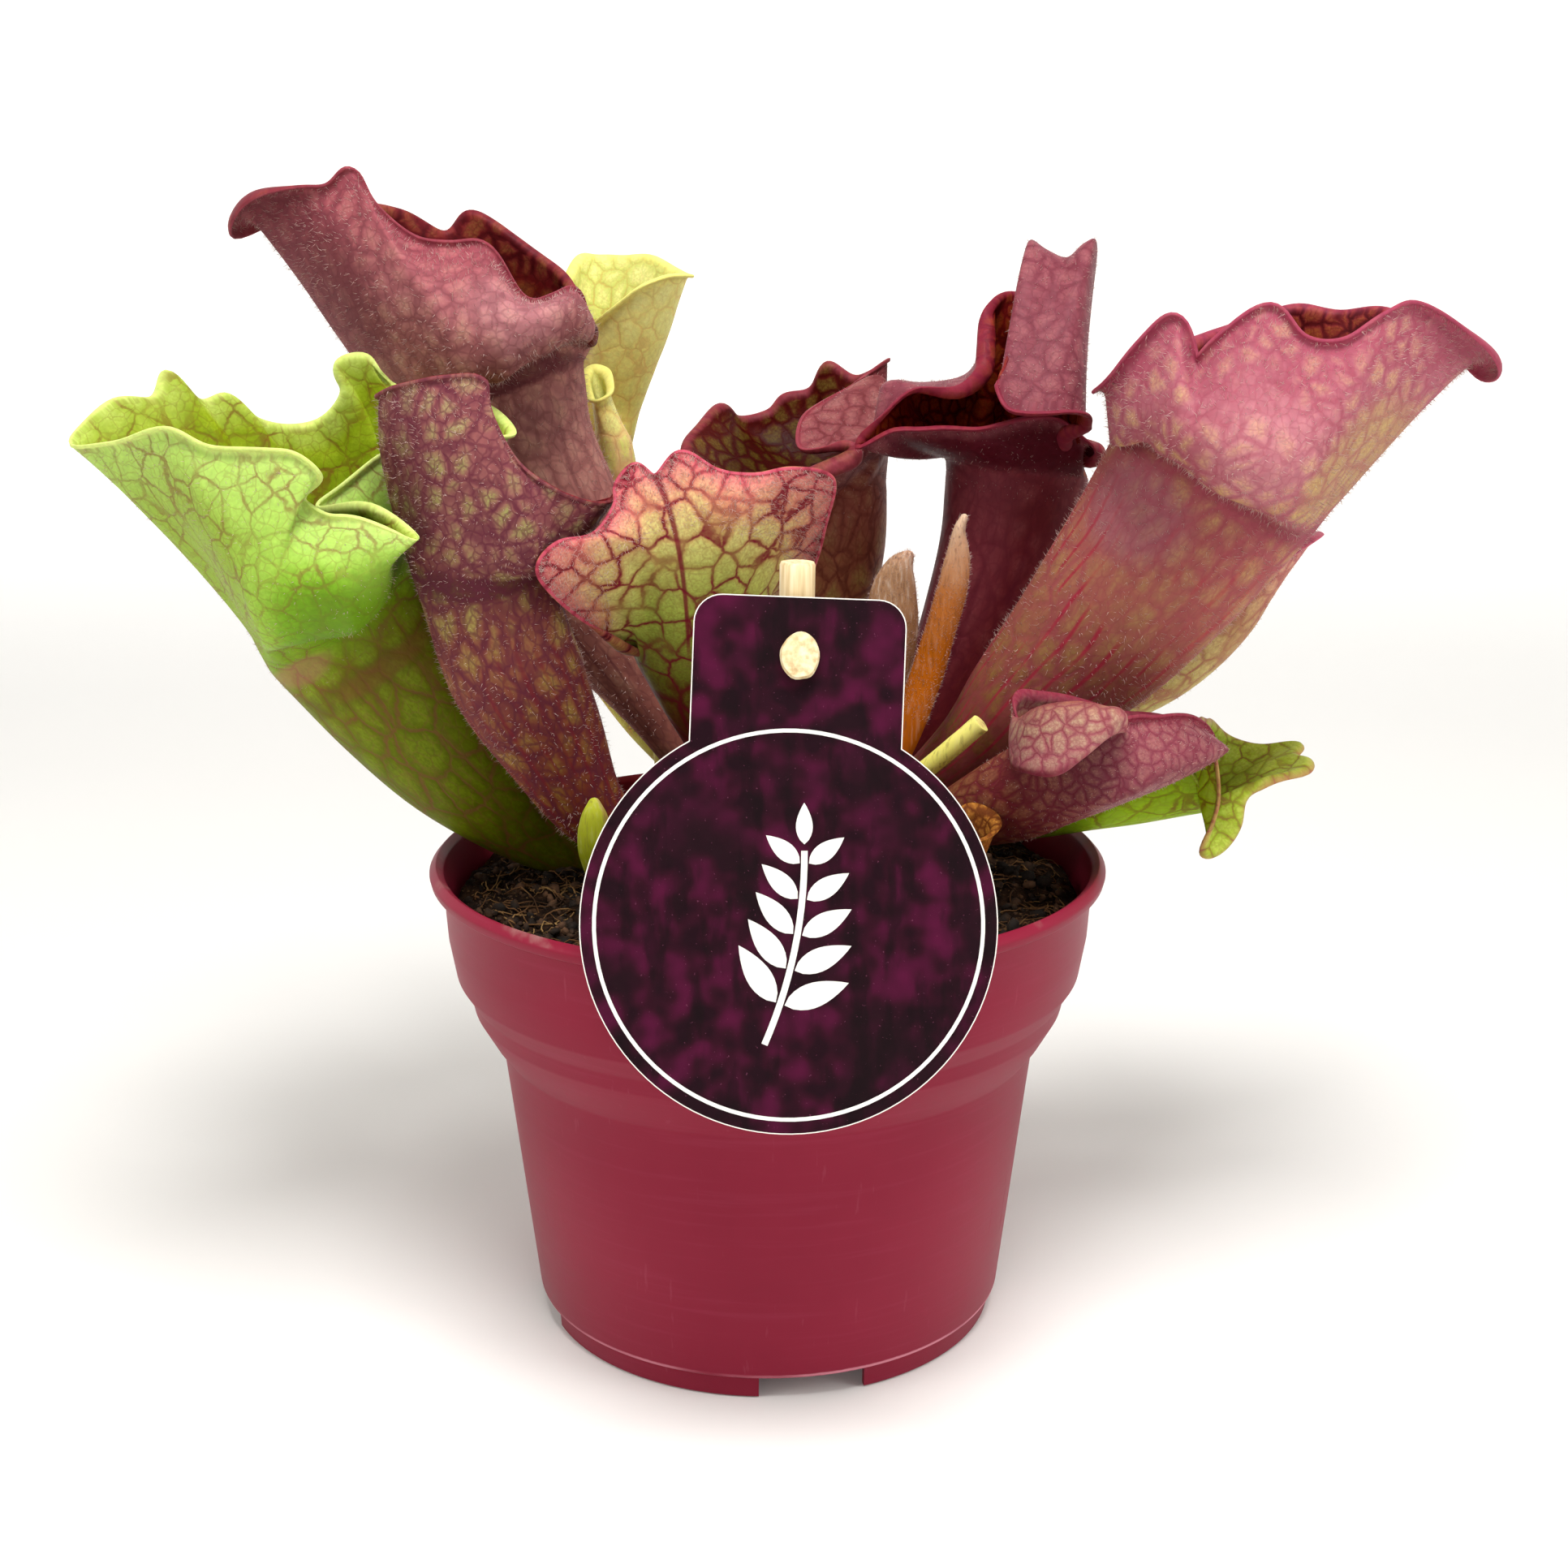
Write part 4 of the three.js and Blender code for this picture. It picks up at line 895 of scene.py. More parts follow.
nettedCentre = {
    "node": "pitcher_netted_centre", "slot": "leaf_netted", "bowl": 0.6,
    "roll": [(0, 0.35, 90), (180, 0.6, 110)],
    "spine": [
        (-5, 30, 72, 2.8, 2.8), (-6, 26, 82, 3.4, 3.4), (-7, 16, 96, 5.2, 5), (-9, 6, 108, 7.3, 6.4),
        (-11, 0, 117, 9.3, 7.4), (-12, -4, 124, 11.3, 8.4),
    ],
    "rim": [
        (258, -10, -5, 0, 0.3), (268, -16, -15, 6, 0.3), (278, -21, -24, 13, -12, -13, 7),
        (288, -24, -28, 18, -12, -18, 11), (298, -23, -28, 21, -10, -20, 14),
        (308, -20, -27, 23, -9, -21, 17), (318, -15, -25, 24, -7, -21, 18),
        (326, -12, -22, 28, -6, -21, 18), (334, -12, -20, 31, -5, -21, 19),
        (342, -9, -19, 34, -4, -21, 19), (350, -6, -19, 32, -2, -21, 19), (2, -2, -19, 36, 1, -21, 20),
        (18, 4, -19, 33, 4, -20, 20), (34, 10, -18, 32, 7, -19, 19), (50, 16, -16, 33, 9, -16, 18),
        (64, 21, -13, 32, 12, -12, 16), (78, 23, -10, 29, 13, -8, 13), (90, 21, -6, 21, 13, -4, 10),
        (104, 19, 0, 13, 11, 3, 6), (128, 13, 10, 1), (165, 4, 15, 0), (205, -3, 13, 0),
    ],
    "look": {
        "ground": [(0.0, "641818"), (0.3, "6c181c"), (0.52, "6c3c1c"), (0.62, "8c9038"),
                   (0.74, "b8a858"), (0.86, "cc8468"), (0.94, "cc6068"), (1.0, "c44c60")],
        "spots": [(0.0, "641818"), (0.35, "701c1c"), (0.54, "7c8428"), (0.66, "b4c454"),
                  (0.82, "dcd084"), (0.92, "dc9480"), (1.0, "cc6070")],
        "vein": "7c1c2c", "cell": 5.0, "width": 0.042, "soft": 2.0, "islands": 0.2, "fine": 0.2,
        "strong": 0.95, "rib": (350, 0.011, 0.56), "margin": (0.975, "b84c60"), "marginAmount": 0.4,
    },
    "inside": {
        "ground": [(0.0, "5c1414"), (1.0, "9c4040")], "spots": [(0.0, "7c5428"), (1.0, "b88c50")],
        "vein": "54101c",
    },
    "hair": {"count": 4800, "length": 1.3, "lifts": (0.78, 0.999)},
}
yellowBack = {
    "node": "pitcher_yellow_back", "slot": "leaf_yellow", "bowl": 0.3,
    "spine": [
        (-10, 47, 75, 2.4, 2.4), (-13, 48, 82, 2.8, 2.8), (-20, 52, 90, 3.2, 3.2),
        (-27, 57, 97, 3.8, 3.8), (-35, 62, 110, 5, 5), (-37, 65, 128, 6, 6), (-35, 66, 146, 6, 6),
        (-32, 67, 158, 6, 6),
    ],
    "rim": [
        (270, -8, -1, 21), (300, -3, -7, 15), (325, -1, -10, 17), (350, 2, -12, 20), (15, 7, -13, 24),
        (40, 12, -11, 26), (68, 16, -5, 26), (98, 14, 5, 26), (125, 8, 13, 29), (155, 2, 16, 29),
        (185, -3, 17, 29), (215, -6, 15, 29), (245, -8, 7, 25),
    ],
    "look": {
        "ground": [(0.0, "9c9430"), (0.4, "ccb450"), (0.7, "e0d478"), (1.0, "ece48c")],
        "spots": [(0.0, "b0a83c"), (0.5, "d4d06c"), (1.0, "f0ec9c")],
        "vein": "c88450", "cell": 4.8, "width": 0.035, "islands": 0.25, "fine": 0.15, "strong": 0.35,
        "lines": (10, 0.4, 0.55), "margin": (0.94, "ece47c"),
    },
    "inside": {"ground": [(0.0, "a8b040"), (1.0, "d4d878")], "vein": "c07840"},
}
yellowSmall = {
    "node": "pitcher_yellow_small", "slot": "leaf_yellow", "bowl": 0.5,
    "spine": [
        (-19, 42, 73, 2, 2), (-20, 43, 83, 2.2, 2.2), (-21, 46, 96, 2.4, 2.4),
        (-23, 50, 114, 2.6, 2.6), (-27, 51, 136, 3, 3), (-30, 51, 153, 3.4, 3.4),
    ],
    "rim": [
        (270, -5, 0, 12), (320, -4, -3, 9), (0, -3, -4, 8), (40, -1, -3, 9), (90, -1, 0, 11),
        (140, -2, 3, 13), (180, -4, 4, 14), (230, -5, 3, 13),
    ],
    "look": yellowBack["look"] | {"ground": [(0.0, "a88850"), (0.5, "dcb87c"), (1.0, "dcd070")]},
    "inside": yellowBack["inside"],
    "hair": {"count": 900, "length": 0.7, "lifts": (0.3, 0.97)},
}
redBack = {
    "node": "pitcher_red_back", "slot": "leaf_red", "bowl": 0.7,
    "roll": [(322, 0.8, 120), (338, 1.4, 300), (352, 1.7, 340), (4, 0.6, 120), (20, 0.4, 90),
             (80, 0.5, 110), (130, 0.8, 120)],
    "rollRows": 10,
    "spine": [
        (0, 51, 72, 2.6, 2.6), (1, 50, 81, 3.2, 3.2), (3, 49, 91, 4.5, 4.5), (7, 47, 106, 7.2, 7),
        (10, 45, 121, 9.5, 9), (12, 43, 135, 10.5, 9.5), (12, 41, 146, 10.5, 9.5),
    ],
    "rim": [
        (262, -27, -7, 7, 0.3), (285, -22, -13, 2), (305, -14, -17, 2), (322, -8, -19, 4),
        (338, -3, -19, 6), (352, 3, -17, 9), (4, 0, -15, 9, 8, -12, 9), (16, -5.5, -12, 8.5, 9.5, -9, 10),
        (30, -5.5, -5, 13, 10.5, -4, 13), (46, -1, 1, 16, 11, 0, 16), (62, 4, 5, 18.5, 11, 4, 18),
        (78, 10.8, 9, 22.7), (96, 7.5, 13, 20), (114, 4, 15, 18.7), (130, -1, 16, 21.5),
        (150, -4, 18, 16), (170, -9, 17, 15), (188, -12, 16, 12), (206, -18, 14, 11),
        (222, -21, 10, 14), (238, -25, 3, 11, 0.4), (250, -27, -2, 9, 0.3),
    ],
    "look": {
        "ground": [(0.0, "7c6c1c"), (0.3, "a06c3c"), (0.5, "a05c4c"), (0.7, "7c4040"), (1.0, "8c464c")],
        "spots": [(0.0, "8c9430"), (0.35, "b0a44c"), (0.5, "b07c5c"), (0.8, "98605c"), (1.0, "a06460")],
        "vein": "541418", "cell": 4.6, "width": 0.05, "islands": 0.35, "fine": 0.3, "strong": 0.5,
        "margin": (0.95, "943c48"),
    },
    "inside": {
        "ground": [(0.0, "280200"), (0.75, "380300"), (0.94, "540c08"), (1.0, "782830")],
        "spots": [(0.0, "382806"), (0.75, "5c4c14"), (1.0, "80682c")],
        "vein": "3c0604", "cell": 4.0, "islands": 0.25, "spotAmount": 0.7, "rough": 0.5,
    },
    "hair": {"count": 700, "length": 0.8, "lifts": (0.5, 0.98)},
}
burgundyTall = {
    "node": "pitcher_burgundy_tall", "slot": "leaf_burgundy", "bowl": 0.6,
    "roll": [(62, 0.8, 120), (74, 2.6, 400), (94, 2.6, 400), (106, 0.8, 120), (195, 0.8, 120),
             (206, 0.3, 60), (224, 0.4, 90), (236, 1.4, 200), (246, 1.4, 200), (253, 0.8, 120)],
    "rollRows": 12,
    "spine": [
        (21, 35, 73, 2.6, 2.6), (22, 35, 81, 3.2, 3.2), (26, 35, 91, 5, 5), (33, 36, 106, 8, 7.5),
        (40, 36, 122, 10.5, 9.5), (45, 36, 137, 12.5, 11), (47, 36, 150, 13.5, 12),
    ],
    "rim": [
        (262, -30, -16, 7), (280, -25, -17, 9), (298, -20, -17, 9), (316, -14, -17, 9),
        (334, -9, -18, 9), (352, -5, -18, 10), (14, 1, -16, 11), (36, 6, -14, 10), (60, 10.5, -13, 6),
        (82, 10, -9, 5.5), (100, 9, -15.5, 9), (114, 9.5, -21, 12, 12, 1, 25),
        (128, 6, -24, 13, 13.5, 1, 40.5), (142, 3, -25, 13, 11, 0, 41),
        (155, -2, -25, 13, 8, 0, 38.4), (167, -5, -24, 14, 4, 0, 40), (178, -6, -21, 18, 1.2, 2, 41.2),
        (189, -3.5, -18, 23, 1, 5, 34), (198, -1, -9, 28.5, 3, 6, 34), (206, 2.5, -1, 32.5, 4, 7, 31),
        (215, 0.5, 3, 31.5), (224, -3.5, 2, 31.5),
        (231, -6, -4, 29, -6, 8, 26), (238, -6, -9, 24, -7, 9, 20), (244, -7, -12, 18, -11, 6, 15),
        (250, -13, -17, 15, -19, 0, 15), (256, -22, -16, 16, -26, -8, 15),
    ],
    "look": {
        "ground": [(0.0, "5c2014"), (0.25, "742428"), (0.5, "70282f"), (0.62, "803844"),
                   (0.75, "8c4a54"), (0.94, "84424c"), (1.0, "8c3a4a")],
        "spots": [(0.0, "784420"), (0.3, "8c4848"), (0.55, "904c50"), (0.7, "a86c6c"), (1.0, "a46464")],
        "vein": "5c1828", "cell": 4.2, "width": 0.05, "soft": 3.0, "islands": 0.5, "fine": 0.3,
        "strong": 0.4, "spotAmount": 0.6, "lines": (20, 0.5, 0.55), "margin": (0.955, "84283c"),
        # the two dark patches on the near wall are painted shade under the overhanging hood
        "washes": [(350, 0.76, 0.24, 0.2, "500c1a", 0.9), (45, 0.76, 0.2, 0.2, "500c1a", 0.9),
                   (320, 0.4, 0.1, 0.3, "843c48", 0.4)],
    },
    "inside": {
        "ground": [(0.0, "740604"), (0.55, "a4120e"), (0.9, "8c1c12"), (1.0, "942430")],
        "spots": [(0.0, "7c2408"), (0.6, "b05018"), (0.95, "94481c")],
        "vein": "480204", "cell": 3.4, "islands": 0.2, "strong": 0.8, "spotAmount": 0.8, "rough": 0.5,
    },
    "hair": {"count": 3000, "length": 0.8, "lifts": (0.5, 0.98)},
}
pinkLow = {
    "node": "pitcher_pink_low", "slot": "leaf_pink", "bowl": 0.6,
    "spine": [
        (20, 14, 77, 2.6, 2.6), (25, 8, 85, 3.2, 3.2), (30, 2, 90, 4.5, 4.5), (37, -3, 94, 6.5, 6),
        (43, -8, 98, 8, 7), (48, -12, 102, 8.5, 7.5),
    ],
    "rim": [
        (262, -6, -2, 14), (276, -7, -11, 7, -5, -8, 13), (292, -6, -17, 7, -2, -12, 16),
        (308, -1, -20, 7, 4, -14, 17), (324, 4, -20, 10, 7, -14, 16), (340, 9, -17, 13, 9, -13, 14),
        (356, 13, -10, 13, 10, -12, 5), (16, 18, -5, 12, 15, -13, 3), (36, 24, 0, 11, 20, -9, 3),
        (56, 29, 4, 8, 26, -3, 3), (78, 32, 7, 4, 28, 4, 2), (105, 30, 12, 5), (135, 22, 12, 8),
        (170, 14, 11, 9), (205, 6, 8, 12), (235, -1, 4, 14),
    ],
    "look": {
        "ground": [(0.0, "54400c"), (0.25, "60301c"), (0.5, "702c2c"), (0.7, "7c3c48"), (1.0, "8c4450")],
        "spots": [(0.0, "70701c"), (0.3, "7c5030"), (0.5, "8c5440"), (0.75, "986460"), (1.0, "9c6060")],
        "vein": "6c2030", "cell": 2.6, "width": 0.04, "islands": 0.25, "fine": 0.3, "strong": 0.6,
        "margin": (0.95, "84283c"),
        "washes": [(285, 0.86, 0.13, 0.2, "d0b090", 0.55)],
    },
    "inside": {
        "ground": [(0.0, "54141c"), (0.7, "7c2c2c"), (0.8, "985c58"), (1.0, "9c5460")],
        "spots": [(0.0, "74382c"), (0.75, "a05c4c"), (0.85, "b49478"), (1.0, "ac7c74")],
        "vein": "741c30", "strong": 0.45,
    },
    "hair": {"count": 1800, "length": 0.6, "lifts": (0.4, 0.98)},
}
greenLow = {
    "node": "pitcher_green_low", "slot": "leaf_green", "bowl": 0.6, "rollRows": 4,
    "spine": [
        (24, 30, 73, 2.2, 2.2), (29, 27, 79, 2.6, 2.6), (36, 22, 83, 3.2, 3.2), (47, 13, 88, 4, 4),
        (58, 8, 92, 4.7, 4.7), (69, 8, 95, 6, 6), (77, 8, 98, 7.5, 7),
    ],
    "rim": [
        (262, 1, 0, 9), (285, 2, -8, 6), (305, 3, -11, -2), (325, 1, -12, -11), (345, 4, -11, -11),
        (5, 7, -10, -7), (22, 8, -9, -2), (40, 12, -8, 1), (60, 19, -5, 2), (80, 21, -1, 3),
        (100, 19, 3, 3), (115, 21, 7, 4), (135, 15, 9, 3), (165, 9, 10, 4), (200, 5, 8, 7),
        (235, 3, 4, 8),
    ],
    "look": {
        "ground": [(0.0, "80a808"), (0.6, "98c010"), (0.9, "a0c018"), (1.0, "b0c83c")],
        "spots": [(0.0, "7c9c10"), (0.7, "9cbc28"), (1.0, "b0cc44")],
        "vein": "74301c", "cell": 3.6, "width": 0.045, "islands": 0.2, "fine": 0.2, "strong": 0.7,
        "margin": (0.965, "b0505c"), "marginAmount": 0.6, "rough": 0.45,
    },
    "inside": {
        "ground": [(0.0, "749010"), (1.0, "a0b430")], "spots": [(0.0, "8cac20"), (1.0, "b8c850")],
        "vein": "844038",
    },
}
pinkBack = {
    "node": "pitcher_pink_back", "slot": "leaf_pink", "bowl": 0.2,
    "spine": [
        (28, 36, 73, 2.4, 2.4), (31, 39, 83, 2.7, 2.7), (42, 44, 94, 3.2, 3.2),
        (61, 47, 101, 6, 5), (76, 48, 109, 8, 6.5), (86, 47, 119, 8.5, 7), (91, 46, 127, 8, 7),
    ],
    "rim": [
        (270, -1, 0, 11), (310, 2, -6, 5), (350, 7, -8, 6), (30, 10, -6, 7), (70, 15, -1, 9),
        (110, 16, 8, 8), (150, 12, 12, 10), (190, 8, 13, 11), (230, 3, 9, 11),
    ],
    "look": {
        "ground": [(0.0, "a4a848"), (0.35, "b09c5c"), (0.55, "b07c60"), (0.8, "bc7468"), (1.0, "b46070")],
        "spots": [(0.0, "b0c054"), (0.4, "c0b070"), (0.6, "c89c78"), (1.0, "d0a08c")],
        "vein": "94404c", "cell": 3.6, "width": 0.055, "islands": 0.22, "fine": 0.25, "strong": 0.6,
        "margin": (0.94, "b4506a"),
    },
    "inside": {"ground": [(0.0, "74282c"), (1.0, "a0505c")], "vein": "642030"},
    "hair": {"count": 1200, "length": 0.6, "lifts": (0.3, 0.98)},
}
driedLeaf = {
    "node": "pitcher_dried", "slot": "leaf_dried", "bowl": 0.5, "swell": 0.8, "rollRows": 3,
    "spine": [
        (32, -16, 73, 1.2, 1.2), (33, -17, 82, 1.3, 1.3), (34, -18, 88, 2, 2), (35, -18, 92, 2.6, 2.5),
    ],
    "rim": [
        (0, 0, -3, 2), (45, 2, -3, 3), (90, 4, 0, 4), (135, 3, 3, 5), (180, 0, 3, 6), (225, -2, 2, 5),
        (270, -3, 0, 3), (315, -2, -3, 2),
    ],
    "look": {
        "ground": [(0.0, "6c4420"), (0.6, "a0581c"), (1.0, "b8742c")],
        "spots": [(0.0, "7c5428"), (1.0, "c88838")],
        "vein": "5c2c10", "cell": 1.6, "width": 0.08, "islands": 0.3, "rough": 0.7,
    },
    "inside": {"ground": [(0.0, "4c2c14"), (1.0, "844c1c")]},
}

downMaterial = downPaint()
for leaf in (roseRight, purpleLeft, greenLeft, mottledFront, nettedCentre, yellowBack, yellowSmall,
             redBack, burgundyTall, pinkLow, greenLow, pinkBack, driedLeaf):
    growLeaf(leaf)


# closed buds and the stub of a stalk

stemBuild = {
    "steps": 5,              # rows between two stations
    "columns": 28,
    "twist": 0.05,           # how far the crease turns from row to row
    "creaseWide": 0.5,
    "cutFace": 0.9,
    "tip": 0.3,
    "rough": 0.12,
    "roughScale": 300,
}

budShort = {
    "node": "bud_short", "slot": "bud_copper", "crease": 0.1,
    "spine": [
        (15, 19, 73, 1.6, 1.6), (17, 19, 86, 1.9, 1.8), (20, 18, 99, 2.5, 2.2),
        (22, 18, 112, 3.8, 2.8), (23, 18, 122, 4.6, 2.8), (23, 18, 129, 4.5, 2.4),
        (24, 18, 134, 3, 1.8), (26, 18, 137, 0.8, 0.8),
    ],
    "ground": [(0.0, "5c4414"), (0.3, "8c6034"), (0.6, "a07450"), (0.85, "ac8464"), (1.0, "c89c80")],
    "streak": "8c3438", "streakTurn": 0.27, "grain": 0.9,
    "hair": {"count": 3200, "length": 0.75, "lifts": (0.3, 1.0), "sweep": 0.9},
}
budTall = {
    "node": "bud_tall", "slot": "bud_copper", "crease": 0.12,
    "spine": [
        (12, 3, 73, 1.5, 1.5), (15, 4, 84, 1.8, 1.8), (20, 6, 95, 2.3, 2.2), (25, 8, 106, 2.9, 2.4),
        (29, 10, 117, 3, 2.4), (31, 10, 124, 2.9, 2.2), (33, 10, 131, 2.9, 2), (34, 10, 137, 2.4, 1.6),
        (34, 10, 142, 1.2, 1.2), (35, 10, 145, 0.6, 0.6),
    ],
    "ground": [(0.0, "64500c"), (0.25, "944804"), (0.5, "b05c04"), (0.68, "b4703c"), (1.0, "e0c4a8")],
    "streak": "8c2c10", "streakTurn": 0.5, "grain": 0.2,
    "hair": {"count": 2600, "length": 0.7, "lifts": (0.35, 1.0), "sweep": 0.9},
}
budGreen = {
    "node": "bud_green", "slot": "stalk_green", "crease": 0.08,
    "spine": [
        (-25, -14, 72, 1.5, 1.5), (-26, -17, 80, 2, 2), (-28, -20, 88, 3, 2.8),
        (-29, -22, 94, 3.2, 2.8), (-29, -23, 99, 2.3, 2), (-29, -23, 102, 0.8, 0.8),
    ],
    "ground": [(0.0, "6c7004"), (0.5, "80880a"), (1.0, "b0b434")],
    "streak": "a0744c", "streakTurn": 0.2, "grain": 0.25,
}
stalkCut = {
    "node": "stalk_cut", "slot": "stalk_green", "crease": 0.04,
    "spine": [
        (13, 14, 73, 1.7, 1.6), (15, 13, 82, 1.7, 1.6), (21, 11, 91, 1.7, 1.6), (32, 4, 103, 1.8, 1.6),
        (38, 2, 109, 1.8, 1.6),
    ],
    "ground": [(0.0, "acb438"), (0.5, "f4ec6c"), (0.93, "f8f088"), (1.0, "d8bc78")],
    "streak": "9c7050", "streakTurn": 0.35, "grain": 0.3, "cut": True,
}


def stemPaint(name, stem):
    paint = Paint(name)
    turn, lift = paint.around()
    fibre = paint.noise(paint.scaled(paint.objectPlace(), (1, 1, 0.16)), 1500.0, 3.0)
    blotch = paint.noise(paint.objectPlace(), 260.0, 3.0)
    colour = paint.ramp(lift + (blotch - 0.5) * 0.16, stopsOf(stem["ground"]))
    near = 1 - paint.step(abs(turn - stem["streakTurn"] + (blotch - 0.5) * 0.1), 0.02, 0.1)
    colour = paint.blend(near * 0.55, colour, tint(stem["streak"]))
    pale = paint.step(fibre, 0.5, 0.75)
    colour = paint.blend(pale * stem["grain"] * 0.5, colour, tint("e4d4c4"))
    dark = 1 - paint.step(fibre, 0.3, 0.46)
    colour = paint.blend(dark * 0.35, colour, tint("5c4030"))
    return paint.finish(colour, 0.5 + fibre * 0.3, fibre, 0.0003, 0.5,
                        Subsurface_Weight=0.1, Subsurface_Radius=(0.001, 0.0005, 0.0002),
                        Subsurface_Scale=1.0, Specular_IOR_Level=0.08)


def growStem(stem):
    spine = np.array(stem["spine"], float)
    last = len(spine) - 1
    turns = np.arange(stemBuild["columns"]) * math.tau / stemBuild["columns"]
    rows = []
    for k in range(last * stemBuild["steps"] + 1):
        ring = ringAt(spine, k / stemBuild["steps"], turns)
        middle = ring.mean(axis=0)
        twist = np.mod(turns + k * stemBuild["twist"], math.tau) - math.pi
        crease = 1 - stem["crease"] * np.exp(-(twist / stemBuild["creaseWide"]) ** 2)
        rows.append(middle + (ring - middle) * crease[:, None])
    foot = np.tile(rows[0].mean(axis=0), (len(turns), 1))
    if stem.get("cut"):
        middle = rows[-1].mean(axis=0)
        rows += [rows[-1] + 0.001 * (rows[-1] - middle),
                 middle + (rows[-1] - middle) * stemBuild["cutFace"]]
    onward = unit(rows[-1].mean(axis=0) - rows[-2].mean(axis=0))
    tip = np.tile(rows[-1].mean(axis=0) + onward * stemBuild["tip"], (len(turns), 1))
    bm = wrapped([[Vector(p) * mm for p in row] for row in [foot] + rows + [tip]])
    closeUp(bm)
    bm.normal_update()
    for v in bm.verts:
        v.co += v.normal * mm * stemBuild["rough"] * noise.noise(v.co * stemBuild["roughScale"])
    if "hair" in stem:
        growDown(stem["node"] + "_down", bm, stem["hair"], stem["slot"])
    piece = keep(bm, stem["node"] + "_grown", [stemPaint(stem["node"] + "_skin", stem)])
    smoothOut(piece)
    settle(piece)
    place(piece, stem["slot"], stem["node"])
    print(stem["node"], len(piece.data.polygons), "faces")


for stem in (budShort, budTall, budGreen, stalkCut):
    growStem(stem)


# the pot: a turned wall, rounded at its steps, with feet and drain holes cut out

pot = {
    "profile": [
        (0, 5.2), (0, 4), (39.9, 4), (39.9, 0), (41.3, 0), (41.6, 4), (42.9, 4.5), (47.4, 43.5),
        (48.4, 51.8), (50.4, 54.4), (53.3, 59.5), (53.9, 62.4), (56.2, 66), (57.4, 73),
        (58, 82.7), (60, 83), (60.4, 84.6), (59.2, 86), (57.8, 85), (56.3, 76), (55.1, 66.4),
        (52.6, 62.2), (51.3, 58.2), (47.2, 52), (46.2, 43.5), (41.7, 5.2),
    ],
    "segments": 144,
    "round": 0.32,
    "roundFrom": 14,         # degrees between two faces
    "feet": 4,
    "notch": (12, 18.6, 4),
    "notchPlace": 40,
    "notchTurn": -79,
    "notchSunk": 0.02,
    "drains": 4,             # round the one in the middle
    "drain": 3.5,
    "drainRing": 27,
    "drainTurn": 45,
    "drainHeight": 4.6,
    "drainDepth": 8,
    "drainSteps": 32,
    "sharp": 38,
}


def potPaint():
    paint = Paint("pot_raspberry")
    spot = paint.objectPlace()
    cloud = paint.noise(spot, 28.0, 3.0)
    grain = paint.noise(spot, 2600.0, 2.0)
    turned = paint.noise(paint.scaled(spot, (0.05, 0.05, 1.0)), 900.0, 3.0)
    colour = paint.blend(cloud, tint("78122a"), tint("8c2038"))
    colour = paint.blend(paint.step(turned, 0.5, 0.8) * 0.12, colour, tint("a44460"))
    dust = paint.step(paint.noise(spot, 120.0, 5.0), 0.56, 0.72)
    upward = paint.split(paint.node("ShaderNodeNewGeometry", out="Normal"))[2]
    settled = dust * paint.step(upward, 0.1, 0.8)
    colour = paint.blend(settled * 0.35, colour, tint("b4a094"))
    rub = paint.noise(paint.scaled(spot, (1.0, 1.0, 0.12)), 700.0, 4.0)
    scratch = paint.step(rub, 0.66, 0.74)
    colour = paint.blend(scratch * 0.07, colour, tint("cc8498"))
    # a thin pale ring round the bevel near the foot, wobbled by the rub noise and broken by the cloud: a
    # painted highlight on the chamfer edge
    level = paint.split(spot)[2]
    paintedGlint = 1 - paint.step(abs(level - 0.0048 + (rub - 0.5) * 0.0002), 0.00015, 0.00045)
    colour = paint.blend(paintedGlint * paint.step(cloud, 0.3, 0.55) * 0.75, colour, tint("d88c9c"))
    roughness = 0.34 + cloud * 0.1 + turned * 0.06 + scratch * 0.12 + settled * 0.2
    return paint.finish(colour, roughness, grain * 0.5 + turned * 0.5, 0.00006, 0.3,
                        Specular_IOR_Level=0.12)


def turnedShape(profile, segments, closed=True):
    # spins a profile of radius and height, and closes its seam and poles
    bm = bmesh.new()
    corners = [bm.verts.new((r * mm, 0, z * mm)) for r, z in profile]
    lines = [bm.edges.new(pair) for pair in zip(corners, corners[1:])]
    if closed:
        lines.append(bm.edges.new((corners[-1], corners[0])))
    bmesh.ops.spin(bm, geom=corners + lines, cent=(0, 0, 0), axis=(0, 0, 1), dvec=(0, 0, 0),
                   angle=math.tau, steps=segments, use_merge=True)
    closeUp(bm)
    return bm


def roundEdges(bm, degrees, width, segments=2):
    edges = [e for e in bm.edges if len(e.link_faces) == 2
             and e.calc_face_angle() > math.radians(degrees)]
    bmesh.ops.bevel(bm, geom=edges, offset=width * mm, offset_type="OFFSET", affect="EDGES",
                    segments=segments, profile=0.5, material=-1, clamp_overlap=True)


